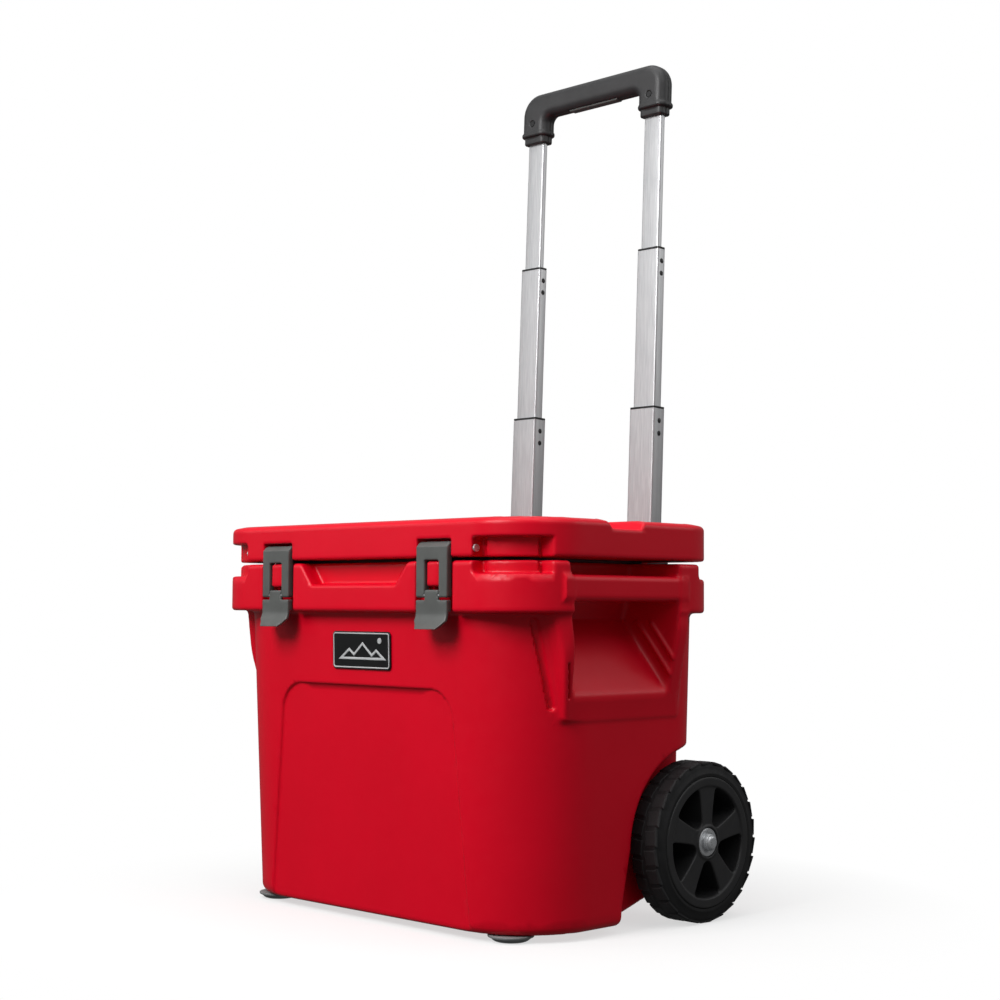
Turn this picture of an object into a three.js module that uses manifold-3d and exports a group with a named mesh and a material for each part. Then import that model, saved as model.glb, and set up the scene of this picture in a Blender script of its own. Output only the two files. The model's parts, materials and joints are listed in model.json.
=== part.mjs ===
// Wheeled cooler chest with a three-stage pull handle, in millimetres, +Z up.
// The front (latch side) faces -Y, the wheels and the handle are at the back.
// The origin is on the ground, under the middle of the whole chest's depth.
import * as THREE from 'three';
import { mergeVertices } from 'three/addons/utils/BufferGeometryUtils.js';
import Module from 'manifold-3d';

const wasm = await Module();
wasm.setup();

// ---- driving dimensions -------------------------------------------------
const halfWidth = 288;          // lid and band, half of the width
const depth = 346;              // lid and band, front to back
const cornerRadius = 74;
const frontOffset = -215.4;      // lid front plane, measured from the origin
const gap = 0.3;                // between pieces that touch

const floorZ = 8;               // underside of the body
const bandBottom = 361;
const bandTop = 401.5;
const rimTop = 418.5;
const lidBottom = 422.5;
const lidTop = 466.5;
const wallInset = 17;           // body wall behind the band
const draft = 0.0255;           // lean of the walls, per mm of height
const skin = 5;                 // plastic around the foam
const rimInset = 12.5;          // corner pockets and rear step

const insideHalfWidth = 212;
const insideFront = 46;
const insideBack = 284;
const insideFloor = 60;

const handleX = 106;            // tube centres
const handleY = 385.4;          // tube centres at ground level
const handleLean = Math.atan(0.0393);
const stages = [
  { name: 'lower', width: 41.6, deep: 21.9, bottom: 385, top: 625 },
  { name: 'middle', width: 35.9, deep: 14.7, bottom: 570, top: 835 },
  { name: 'upper', width: 29.3, deep: 8.4, bottom: 780, top: 1030 },
];
const outerTube = { width: 46.4, deep: 26.7, bottom: 60, top: 440 };
const tubeWall = 1.5;
const gripBottom = 1014;
const gripTop = 1084;
const gripHalfWidth = 128;
const gripDepth = 28;

const wheelY = 306.6;
const wheelRadius = 93.8;
const wheelInner = 244;         // inner face of the tyre
const wheelOuter = 288;
const rimRadius = 76;
const wellRadius = 110;
const wellWall = 228;
const axleRadius = 6;

const latchX = 140;
const latchHalf = 25.3;
const latchPivot = { y: 6, z: 432 };
const latchFront = -3.2;
const leverPivot = { y: -1.2, z: 380 };
const keeperHalf = 9.5;
const keeperFront = 1.2;

const hingeY = 326;
const hingeZ = 419;
const hingeX = 150;
const sides = [{ sign: -1, tag: 'left' }, { sign: 1, tag: 'right' }];

// ---- materials ----------------------------------------------------------
const finish = (color, roughness, metalness = 0) =>
  new THREE.MeshStandardMaterial({ color, roughness, metalness });
const looks = {
  shell: finish(0xc8071f, 0.38),
  foam: finish(0xe6d8a8, 0.9),
  latch: finish(0x565856, 0.5),
  grip: finish(0x3c3c3d, 0.6),
  tube: finish(0xc4c5c7, 0.35, 0.9),
  steel: finish(0xb8babc, 0.25, 1),
  rubber: finish(0x1b1b1c, 0.85),
  wheel: finish(0x2b2b2c, 0.55),
  foot: finish(0x8a8c8c, 0.8),
  seal: finish(0x6c6e70, 0.8),
  badge: finish(0x202224, 0.4),
};

// ---- solids from geometries ---------------------------------------------
function toSolid(geometry) {
  const bare = geometry.clone();
  bare.deleteAttribute('normal');
  bare.deleteAttribute('uv');
  const merged = mergeVertices(bare, 1e-4);
  return new wasm.Manifold(new wasm.Mesh({
    numProp: 3,
    vertProperties: new Float32Array(merged.attributes.position.array),
    triVerts: new Uint32Array(merged.index.array),
  }));
}

function toGeometry(solid) {
  const mesh = solid.getMesh();
  const geometry = new THREE.BufferGeometry();
  geometry.setAttribute('position', new THREE.BufferAttribute(mesh.vertProperties, 3));
  geometry.setIndex(new THREE.BufferAttribute(mesh.triVerts, 1));
  return geometry;
}

const join = (...geometries) =>
  toGeometry(geometries.map(toSolid).reduce((a, b) => a.add(b)));

function cut(geometry, ...tools) {
  return toGeometry(tools.map(toSolid).reduce((a, b) => a.subtract(b), toSolid(geometry)));
}

const common = (a, b) => toGeometry(toSolid(a).intersect(toSolid(b)));

// ---- basic shapes -------------------------------------------------------
function roundedRect(x0, y0, x1, y1, radius) {
  const shape = new THREE.Shape();
  const quarter = Math.PI / 2;
  shape.absarc(x1 - radius, y0 + radius, radius, -quarter, 0);
  shape.absarc(x1 - radius, y1 - radius, radius, 0, quarter);
  shape.absarc(x0 + radius, y1 - radius, radius, quarter, 2 * quarter);
  shape.absarc(x0 + radius, y0 + radius, radius, 2 * quarter, 3 * quarter);
  return shape;
}

function polygon(points) {
  return new THREE.Shape(points.map(([x, y]) => new THREE.Vector2(x, y)));
}

// An upright slab of a plan outline.
function slab(shape, z0, z1, curveSegments = 5) {
  const geometry = new THREE.ExtrudeGeometry(shape, { depth: z1 - z0, bevelEnabled: false, curveSegments });
  return geometry.translate(0, 0, z0);
}

// An outline in (y, z), run along X.
function alongX(shape, x0, x1, curveSegments = 9) {
  const [low, high] = x0 < x1 ? [x0, x1] : [x1, x0];
  const geometry = new THREE.ExtrudeGeometry(shape, { depth: high - low, bevelEnabled: false, curveSegments });
  geometry.applyMatrix4(new THREE.Matrix4().makeBasis(
    new THREE.Vector3(0, 1, 0), new THREE.Vector3(0, 0, 1), new THREE.Vector3(1, 0, 0)));
  return geometry.translate(low, 0, 0);
}

// An outline in (x, z), run along Y.
function alongY(shape, y0, y1, curveSegments = 4) {
  const geometry = new THREE.ExtrudeGeometry(shape, { depth: y1 - y0, bevelEnabled: false, curveSegments });
  geometry.applyMatrix4(new THREE.Matrix4().makeBasis(
    new THREE.Vector3(1, 0, 0), new THREE.Vector3(0, 0, 1), new THREE.Vector3(0, -1, 0)));
  return geometry.translate(0, y1, 0);
}

function box(x0, x1, y0, y1, z0, z1) {
  const geometry = new THREE.BoxGeometry(Math.abs(x1 - x0), y1 - y0, z1 - z0);
  return geometry.translate((x0 + x1) / 2, (y0 + y1) / 2, (z0 + z1) / 2);
}

function rodX(radius, x0, x1, y, z, segments = 16) {
  const geometry = new THREE.CylinderGeometry(radius, radius, Math.abs(x1 - x0), segments);
  return geometry.rotateZ(Math.PI / 2).translate((x0 + x1) / 2, y, z);
}

function rodY(radius, y0, y1, x, z, segments = 16) {
  const geometry = new THREE.CylinderGeometry(radius, radius, y1 - y0, segments);
  return geometry.translate(x, (y0 + y1) / 2, z);
}

function rodZ(radius, z0, z1, x, y, segments = 16) {
  const geometry = new THREE.CylinderGeometry(radius, radius, z1 - z0, segments);
  return geometry.rotateX(Math.PI / 2).translate(x, y, (z0 + z1) / 2);
}

// Draws the outline in by `inset` from zFull to zSmall, about the line y = centreY.
function taper(geometry, zFull, zSmall, inset, centreY = depth / 2) {
  const position = geometry.attributes.position;
  for (let i = 0; i < position.count; i += 1) {
    const share = (zFull - position.getZ(i)) / (zFull - zSmall);
    position.setX(i, position.getX(i) - Math.sign(position.getX(i)) * inset * share);
    position.setY(i, position.getY(i) - Math.sign(position.getY(i) - centreY) * inset * share);
  }
  return geometry;
}

// The chest's plan outline, drawn in by `inset` all round.
function plan(inset) {
  const radius = Math.max(cornerRadius - inset, 20);
  return roundedRect(-halfWidth + inset, inset, halfWidth - inset, depth - inset, radius);
}

function insidePlan(margin) {
  return roundedRect(-insideHalfWidth - margin, insideFront - margin,
    insideHalfWidth + margin, insideBack + margin, 34 + margin);
}

// Places a geometry drawn in the handle's own leaning frame into the chest's frame.
const leanMatrix = new THREE.Matrix4().makeRotationX(-handleLean).setPosition(0, handleY, 0);
const leaning = (geometry) => geometry.applyMatrix4(leanMatrix);

// ---- cutters that several pieces share ----------------------------------
// The curved pocket round a front corner, between two heights.
function cornerPocket(sign, z0, z1) {
  const reach = box(sign * 201, sign * 300, -10, 48, z0, z1);
  return cut(reach, slab(plan(rimInset), z0 - 1, z1 + 1));
}

function sidePocket(sign, margin) {
  const outline = [[330, 250], [279, 260], [217, 354], [221, 369], [229, 440], [330, 440]];
  const points = outline.map(([x, z]) => [sign * (x - margin), z - margin]);
  return alongY(polygon(points), 75 - margin, 254 + margin);
}

function wheelWell(sign, margin) {
  const shape = new THREE.Shape();
  shape.moveTo(181 - margin, -20);
  shape.lineTo(184 - margin, 30);
  shape.absarc(wheelY, wheelRadius, wellRadius + margin, Math.PI, Math.PI / 2, true);
  shape.lineTo(430, wheelRadius + wellRadius + margin);
  shape.lineTo(430, -20);
  return alongX(shape, sign * (wellWall - margin), sign * 330);
}

function rearUnderside(margin) {
  const outline = [[202 - margin, -20], [202 - margin, floorZ + margin],
    [326, 45 + margin], [360, 45 + margin], [360, -20]];
  return alongX(polygon(outline), -240, 240);
}

// ---- body ---------------------------------------------------------------
function bodyOutside() {
  const foldZ = 20;
  const inset = (bandBottom - foldZ) * draft;
  const wall = taper(slab(plan(wallInset), foldZ, bandBottom + 1), bandBottom + 1, foldZ, inset);
  const base = taper(slab(plan(wallInset + inset), floorZ, foldZ), foldZ, floorZ, 8);
  const band = slab(plan(0), bandBottom, rimTop);
  const frames = sides.map(({ sign }) => {
    const outline = [[250, 244], [269, 244], [halfWidth, 345], [halfWidth, bandBottom + 1], [250, bandBottom + 1]];
    const frame = alongY(polygon(outline.map(([x, z]) => [sign * x, z])), 49, 272);
    return common(frame, slab(plan(0), 200, 400));
  });
  const ribs = sides.map(({ sign }) =>
    leaning(box(sign * handleX - 31, sign * handleX + 31, -76, 4, 62, 389.6)));
  return join(wall, base, band, ...frames, ...ribs);
}

function rearStep() {
  const reach = box(-300, 300, 294, 360, bandTop, rimTop + 1);
  const step = cut(reach, slab(plan(rimInset), bandTop - 1, rimTop + 2));
  return join(step, box(-300, 300, 328, 360, 397.5, rimTop + 1));
}

function frontPanel() {
  const shape = new THREE.Shape();
  shape.moveTo(-176, -10);
  shape.lineTo(-151, 244);
  shape.quadraticCurveTo(-148, 274, -118, 274);
  shape.lineTo(118, 274);
  shape.quadraticCurveTo(148, 274, 151, 244);
  shape.lineTo(176, -10);
  const panelDepth = 3;
  const sheared = alongY(shape, -30, panelDepth);
  const position = sheared.attributes.position;
  for (let i = 0; i < position.count; i += 1) {
    const wallY = wallInset + (bandBottom - position.getZ(i)) * draft;
    position.setY(i, position.getY(i) + wallY);
  }
  return sheared;
}

const fingerRecess = () =>
  alongY(polygon([[-75, 392.5], [75, 392.5], [105, 430], [-105, 430]]), -10, 20);

// The space between the skins; `clear` shrinks it for the foam that fills it.
function foamSpace(clear) {
  const bottomZ = floorZ + 12 + clear;
  const topZ = rimTop - skin - clear;
  const inset = (topZ - bottomZ) * draft;
  const block = taper(slab(plan(wallInset + skin + 1 + clear), bottomZ, topZ), topZ, bottomZ, inset);
  const margin = skin + clear;
  const inside = slab(insidePlan(margin), insideFloor - margin, rimTop + 1);
  const tools = [inside, rearUnderside(margin)];
  for (const { sign } of sides) {
    tools.push(sidePocket(sign, margin));
    tools.push(wheelWell(sign, margin));
  }
  tools.push(box(-112, 112, -10, 20 + margin, 385, 440));
  tools.push(rodX(11 + clear, -240, 240, wheelY, wheelRadius, 20));
  tools.push(rodY(15 + clear, 270, 350, 0, drain.z));
  for (const { sign } of sides) {
    const x = sign * hingeX;
    tools.push(box(x - 28, x + 28, hingeY - 21 - clear, 340, 398 - clear, 430));
  }
  return cut(block, ...tools);
}

const drain = { z: 74, radius: 9 };
const fillPort = { x: 0, z: 330, radius: 10 };

function bodyShell() {
  const tools = [rearStep(), frontPanel(), fingerRecess(), rearUnderside(0)];
  tools.push(slab(insidePlan(0), insideFloor, rimTop + 5));
  tools.push(rodY(drain.radius, 270, 350, 0, drain.z, 20));
  tools.push(rodY(fillPort.radius, 312, 350, fillPort.x, fillPort.z, 16));
  tools.push(rodX(axleRadius + gap, -240, 240, wheelY, wheelRadius, 16));
  for (const { sign } of sides) {
    const x = sign * latchX;
    tools.push(box(x - 29.5, x + 29.5, -10, 12, 340, rimTop + 5));
    tools.push(cornerPocket(sign, bandTop + 1.5, rimTop + 1));
    tools.push(sidePocket(sign, 0));
    tools.push(wheelWell(sign, 0));
    tools.push(leaning(box(sign * handleX - 23.5, sign * handleX + 23.5, -13.7, 30, 40, 400)));
    tools.push(rodX(10.2, sign * hingeX, sign * (hingeX + 22), hingeY, hingeZ, 16));
    tools.push(box(sign * hingeX, sign * (hingeX + 22), hingeY, 360, 405, rimTop + 5));
  }
  const extras = [];
  for (const { sign } of sides) {
    const x = sign * latchX;
    extras.push(box(x - keeperHalf, x + keeperHalf, keeperFront, 14, 389.6, rimTop - 0.1));
    extras.push(box(sign * 262, sign * halfWidth, 70, 260, 374.5, 403.5));
    extras.push(rodX(9, sign * (hingeX - 20), sign * (hingeX - gap), hingeY, hingeZ, 16));
    extras.push(box(sign * (hingeX - 20), sign * (hingeX - gap), hingeY - 9, hingeY + 2, 405, hingeZ));
  }
  const shell = join(cut(bodyOutside(), ...tools), ...extras);
  const bores = sides.map(({ sign }) =>
    rodX(4 + gap, sign * (hingeX - 16), sign * (hingeX + 1), hingeY, hingeZ, 16));
  return cut(shell, foamSpace(0), ...bores);
}

// ---- lid ----------------------------------------------------------------
function strapGroove() {
  const outline = [[127, 468], [136, 455.5], [185, 455.5], [194, 468]];
  return alongX(polygon(outline), -300, 300);
}

function lidFoamSpace(clear) {
  const [x, front, back] = [252 - clear, 32 + clear, 306 - clear];
  const layer = (y0, y1, z0, z1) => slab(roundedRect(-x, y0, x, y1, 20), z0, z1);
  const main = slab(roundedRect(-x, front, x, back, 46), lidBottom + skin + clear, 449.5 - clear);
  const ahead = layer(front, 121 - clear, 445, 459.5 - clear);
  const behind = layer(200 + clear, back, 445, 459.5 - clear);
  const boss = slab(insidePlan(-6 - skin - clear), lidPlugZ + skin + clear, 440);
  const port = rodZ(lidPort.radius + 6 + clear, lidPlugZ, lidBottom + skin + 3 + clear, lidPort.x, lidPort.y, 16);
  return cut(join(main, ahead, behind, boss), port);
}

const lidPlugZ = 411;
const lidPort = { x: 0, y: 165, radius: 9 };

function lidShell() {
  const wall = slab(plan(0), lidBottom, 458);
  const shoulder = taper(slab(plan(0), 458, 463.5), 458, 463.5, 3.5);
  const crown = taper(slab(plan(3.5), 463.5, lidTop), 463.5, lidTop, 8);
  const boss = slab(insidePlan(-6), lidPlugZ, lidBottom + 1);
  const outside = join(wall, shoulder, crown, boss);
  const tools = [strapGroove(), lidFoamSpace(0)];
  tools.push(rodZ(lidPort.radius, lidPlugZ - 1, lidBottom + skin + 4, lidPort.x, lidPort.y, 16));
  const knuckles = [];
  for (const { sign } of sides) {
    const x = sign * latchX;
    tools.push(box(x - 27.5, x + 27.5, -10, 18, lidBottom - 1, 443));
    tools.push(cornerPocket(sign, lidBottom - 1, 444.5));
    tools.push(rodX(2.8, sign * 108, sign * 204, latchPivot.y, latchPivot.z, 12));
    tools.push(rodX(10.2, sign * (hingeX - 22), sign * hingeX, hingeY, hingeZ, 16));
    knuckles.push(rodX(9, sign * (hingeX + gap), sign * (hingeX + 20), hingeY, hingeZ, 16));
    knuckles.push(box(sign * (hingeX + gap), sign * (hingeX + 20), hingeY - 7, hingeY + 7, hingeZ, lidBottom + 3));
  }
  const shell = join(cut(outside, ...tools), ...knuckles);
  const bores = sides.map(({ sign }) =>
    rodX(4 + gap, sign * (hingeX - 1), sign * (hingeX + 16), hingeY, hingeZ, 16));
  return cut(shell, ...bores);
}

function lidGasket() {
  const outer = slab(insidePlan(8), rimTop + 0.4, lidBottom - gap, 4);
  return cut(outer, slab(insidePlan(2), rimTop - 1, lidBottom + 1, 4));
}

// ---- latches ------------------------------------------------------------
function latchPin(sign) {
  const shank = rodX(2.5, sign * 109, sign * 202, latchPivot.y, latchPivot.z, 12);
  const head = rodX(4.2, sign * 201.3, sign * 203.6, latchPivot.y, latchPivot.z, 16);
  return join(shank, head);
}

function latchFrame(x) {
  const back = 6;
  const half = latchHalf;
  const windowHalf = 11.6;
  const outline = [[x - half, 377.5], [x - windowHalf, 377.5], [x - windowHalf, 419.2], [x + windowHalf, 419.2],
    [x + windowHalf, 377.5], [x + half, 377.5], [x + half, 440.2], [x - half, 440.2]];
  const plate = alongY(polygon(outline), latchFront, back);
  const chamfer = alongX(polygon([[latchFront - 1, 436.5], [latchFront - 1, 441], [1, 441]]), x - 30, x + 30);
  const barrel = rodX(7.6, x - half, x + half, latchPivot.y, latchPivot.z, 16);
  const bore = rodX(2.8, x - 30, x + 30, latchPivot.y, latchPivot.z, 12);
  const pinBore = rodX(1.6, x - 22, x + 22, leverPivot.y, leverPivot.z, 10);
  return cut(join(cut(plate, chamfer), barrel), bore, pinBore);
}

function latchLever(x) {
  const half = latchHalf;
  const neckHalf = 11.2;
  const thinBack = 0.8;
  const ribBack = 5;
  const outline = [[x - half, 352], [x - half + 13, 342], [x + half - 13, 342], [x + half, 352], [x + half, 374.7],
    [x + neckHalf, 374.7], [x + neckHalf, 386], [x - neckHalf, 386], [x - neckHalf, 374.7], [x - half, 374.7]];
  const plate = alongY(polygon(outline), latchFront - 10, thinBack);
  const ribs = [-1, 1].map((side) =>
    box(x + side * 10.5, x + side * half, thinBack - 1, ribBack, 362, 374.7));
  const face = [[-40, 330], [latchFront - 8, 342], [latchFront - 7.2, 345], [latchFront - 2, 352],
    [latchFront, 358], [latchFront, 400], [-40, 400]];
  const hollow = [[10, 330], [latchFront - 4.5, 341], [latchFront - 3.8, 347], [latchFront + 1.5, 354],
    [thinBack, 360], [10, 360]];
  const shaped = cut(join(plate, ...ribs), alongX(polygon(face), x - 40, x + 40),
    alongX(polygon(hollow), x - 40, x + 40));
  return cut(shaped, rodX(1.6, x - 22, x + 22, leverPivot.y, leverPivot.z, 10));
}

const leverPin = (x) => rodX(1.3, x - 21.5, x + 21.5, leverPivot.y, leverPivot.z, 10);

// ---- handle -------------------------------------------------------------
function squareTube(x, width, deep, z0, z1) {
  const shape = roundedRect(x - width / 2, -deep / 2, x + width / 2, deep / 2, 2.4);
  const hole = roundedRect(x - width / 2 + tubeWall, -deep / 2 + tubeWall,
    x + width / 2 - tubeWall, deep / 2 - tubeWall, 1.2);
  shape.holes.push(hole);
  return slab(shape, z0, z1, 1);
}

function collar(x, stage, inner) {
  const shape = roundedRect(x - stage.width / 2, -stage.deep / 2, x + stage.width / 2, stage.deep / 2, 2.4);
  const slack = 0.5;
  shape.holes.push(roundedRect(x - inner.width / 2 - slack, -inner.deep / 2 - slack,
    x + inner.width / 2 + slack, inner.deep / 2 + slack, 2.6));
  return slab(shape, stage.top + gap, stage.top + 2.5, 1);
}

function topBracket() {
  const body = slab(roundedRect(-138, -16.5, 138, 19, 12), 390, 437, 3);
  const holes = sides.map(({ sign }) => slab(roundedRect(sign * handleX - outerTube.width / 2 - gap,
    -outerTube.deep / 2 - gap, sign * handleX + outerTube.width / 2 + gap, outerTube.deep / 2 + gap, 2.6), 380, 450, 1));
  const relief = box(-70, 70, 4, 30, 380, 450);
  return cut(body, ...holes, relief);
}

function footBracket() {
  const plate = slab(roundedRect(-134, -15, 134, 17, 10), 48, 59.5, 3);
  const relief = box(-72, 72, 2, 30, 40, 70);
  const studs = sides.map(({ sign }) => box(sign * handleX - 18, sign * handleX + 18, -8, 8, 59, 72));
  return join(cut(plate, relief), ...studs);
}

function gripOutline() {
  const legInner = handleX - 22;
  const shape = new THREE.Shape();
  const bend = 30;
  const innerBend = 9;
  const underside = gripTop - 34;
  shape.moveTo(gripHalfWidth, gripBottom);
  shape.lineTo(gripHalfWidth, gripTop - bend);
  shape.absarc(gripHalfWidth - bend, gripTop - bend, bend, 0, Math.PI / 2);
  shape.absarc(-gripHalfWidth + bend, gripTop - bend, bend, Math.PI / 2, Math.PI);
  shape.lineTo(-gripHalfWidth, gripBottom);
  shape.lineTo(-legInner, gripBottom);
  shape.absarc(-legInner + innerBend, underside - innerBend, innerBend, Math.PI, Math.PI / 2, true);
  shape.absarc(legInner - innerBend, underside - innerBend, innerBend, Math.PI / 2, 0, true);
  shape.lineTo(legInner, gripBottom);
  return shape;
}

const trigger = { half: 44, deep: 12, bottom: 1044, top: 1056 };

// One half of the grip, split on the plane through the tubes' centres.
function gripShell(y0, y1) {
  const body = alongY(gripOutline(), y0, y1, 6);
  const tools = [];
  for (const { sign } of sides) {
    const x = sign * handleX;
    tools.push(box(x - 14.65 - gap, x + 14.65 + gap, -4.5, 4.5, gripBottom - 5, stages[2].top + gap));
    tools.push(rodY(2.3, -30, 30, x, 1042, 12));
    tools.push(rodY(4.2, -30, -gripDepth / 2 + 2.4, x, 1042, 16));
    tools.push(rodZ(5.4, 1050, 1067, sign * 34, 0, 14));
  }
  tools.push(box(-trigger.half - 0.5, trigger.half + 0.5, -6.5, 6.5, 1040, trigger.top + 5));
  return cut(body, ...tools);
}

function gripScrew(x) {
  const head = rodY(3.8, -gripDepth / 2 + 0.4, -gripDepth / 2 + 2.1, x, 1042, 16);
  const shank = rodY(1.9, -gripDepth / 2 + 1, gripDepth / 2 - 3, x, 1042, 12);
  return join(head, shank);
}

function releaseTrigger() {
  const shape = roundedRect(-trigger.half, trigger.bottom, trigger.half, trigger.top, 4);
  return alongY(shape, -trigger.deep / 2, trigger.deep / 2, 4);
}

class CoilCurve extends THREE.Curve {
  constructor(radius, pitch, turns) {
    super();
    Object.assign(this, { radius, pitch, turns });
  }

  getPoint(t) {
    const angle = t * this.turns * 2 * Math.PI;
    return new THREE.Vector3(this.radius * Math.cos(angle), this.radius * Math.sin(angle),
      t * this.turns * this.pitch);
  }
}

// The trigger's return spring, drawn at its closed height.
function triggerSpring(x) {
  const turns = 3;
  const wire = polygon([[0.55, 0], [0, 0.55], [-0.55, 0], [0, -0.55]]);
  const geometry = new THREE.ExtrudeGeometry(wire, {
    steps: turns * 8, bevelEnabled: false, extrudePath: new CoilCurve(3.9, 1.6, turns),
  });
  return geometry.translate(x, 0, trigger.top + 0.9);
}

// ---- wheels -------------------------------------------------------------
function turned(profile, segments) {
  const points = profile.map(([radius, x]) => new THREE.Vector2(radius, x));
  return new THREE.LatheGeometry(points, segments).rotateZ(-Math.PI / 2);
}

function spokedDisc() {
  const sectors = 32;
  const disc = polygon(Array.from({ length: sectors }, (_, i) => {
    const angle = i * 2 * Math.PI / sectors;
    return [68 * Math.cos(angle), 68 * Math.sin(angle)];
  }));
  const spokes = 5;
  for (let i = 0; i < spokes; i += 1) {
    const middle = Math.PI / 2 + (i + 0.5) * (2 * Math.PI / spokes);
    const point = (radius, angle) => [radius * Math.cos(middle + angle), radius * Math.sin(middle + angle)];
    const window = new THREE.Path();
    window.moveTo(...point(24, -0.25));
    window.lineTo(...point(58, -0.42));
    window.quadraticCurveTo(...point(63, -0.42), ...point(62.5, -0.32));
    window.quadraticCurveTo(...point(65.8, 0), ...point(62.5, 0.32));
    window.quadraticCurveTo(...point(63, 0.42), ...point(58, 0.42));
    window.lineTo(...point(24, 0.25));
    window.quadraticCurveTo(...point(22.2, 0), ...point(24, -0.25));
    disc.holes.push(window);
  }
  return alongX(disc, 276, 286, 3);
}

function wheelRim() {
  const ring = turned([[65, 246], [71, 246], [71, 281], [rimRadius, 281],
    [rimRadius, 287.5], [70, wheelOuter], [65, 285], [65, 246]], 32);
  const hub = turned([[0, 244], [19, 244], [21, 277], [0, 277]], 20);
  const web = turned([[0, 258], [66, 258], [66, 262], [0, 262]], 32);
  return cut(join(ring, spokedDisc(), web, hub), rodX(9.5, 230, 300, 0, 0, 16), rodX(17.2, 284, 300, 0, 0, 20));
}

function wheelTyre() {
  const r = wheelRadius;
  const profile = [[71.4, wheelInner + 1], [r - 6, wheelInner], [r, wheelInner + 7], [r, wheelOuter - 8],
    [r - 6, wheelOuter - 1.5], [rimRadius + 0.4, 287], [rimRadius + 0.4, 280.6], [71.4, 280.6],
    [71.4, wheelInner + 1]];
  return turned(profile, 40);
}

const ring = (inner, outer, x0, x1, segments = 14) =>
  turned([[inner, x0], [outer, x0], [outer, x1], [inner, x1], [inner, x0]], segments);

function axleNut() {
  const hex = rodX(10, 286.9, 292, 0, 0, 6);
  return cut(join(hex, rodX(8.2, 286.9, 294.5, 0, 0, 12)), rodX(axleRadius + gap, 280, 292.5, 0, 0, 12));
}

// ---- small parts --------------------------------------------------------
function badgePlate() {
  const shape = roundedRect(-51.5, -22.3, 51.5, 22.3, 5);
  const plate = alongY(shape, -2.2, -gap, 4);
  const badgeZ = 315.5;
  plate.rotateX(Math.atan(draft));
  return plate.translate(0, wallInset + (bandBottom - badgeZ) * draft, badgeZ);
}

function foot() {
  const profile = [[0, 0], [17, 0], [24, 2.4], [26, 5], [26, floorZ - gap], [0, floorZ - gap]];
  const points = profile.map(([radius, z]) => new THREE.Vector2(radius, z));
  return new THREE.LatheGeometry(points, 18).rotateX(Math.PI / 2);
}

function drainPlug() {
  const knob = rodY(13, 323.3, 332, 0, drain.z, 12);
  const grip = box(-2.5, 2.5, 331, 338, drain.z - 11, drain.z + 11);
  return join(knob, grip, rodY(drain.radius - 0.5, 292, 325, 0, drain.z, 14));
}

function drainSeal() {
  return cut(rodY(13.5, 322.35, 323, 0, drain.z, 16), rodY(drain.radius - 0.2, 320, 326, 0, drain.z, 16));
}

// ---- the assembly -------------------------------------------------------
const cooler = new THREE.Group();
cooler.position.y = frontOffset;
const handle = new THREE.Group();
handle.position.y = handleY;
handle.rotation.x = -handleLean;
cooler.add(handle);

function place(name, geometry, material, parent = cooler, position = [0, 0, 0]) {
  const mesh = new THREE.Mesh(geometry, material);
  mesh.name = name;
  mesh.position.set(...position);
  parent.add(mesh);
}

place('body_shell', bodyShell(), looks.shell);
place('body_foam_core', foamSpace(0.4), looks.foam);
place('body_fill_plug', rodY(fillPort.radius - gap, 322, 328.2, fillPort.x, fillPort.z, 16), looks.shell);
place('badge_plate', badgePlate(), looks.badge);
place('lid_shell', lidShell(), looks.shell);
place('lid_foam_core', lidFoamSpace(0.4), looks.foam);
place('lid_fill_plug', rodZ(lidPort.radius - gap, lidPlugZ, 425, lidPort.x, lidPort.y, 16), looks.shell);
place('lid_gasket', lidGasket(), looks.seal);
place('drain_plug', drainPlug(), looks.latch);
place('drain_seal', drainSeal(), looks.seal);
place('axle', rodX(axleRadius, -291, 291, wheelY, wheelRadius, 16), looks.steel);
place('handle_top_bracket', topBracket(), looks.grip, handle);
place('handle_foot_bracket', footBracket(), looks.grip, handle);
place('grip_front_shell', gripShell(-gripDepth / 2, -0.15), looks.grip, handle);
place('grip_rear_shell', gripShell(0.15, gripDepth / 2), looks.grip, handle);
place('release_trigger', releaseTrigger(), looks.latch, handle);

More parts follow.
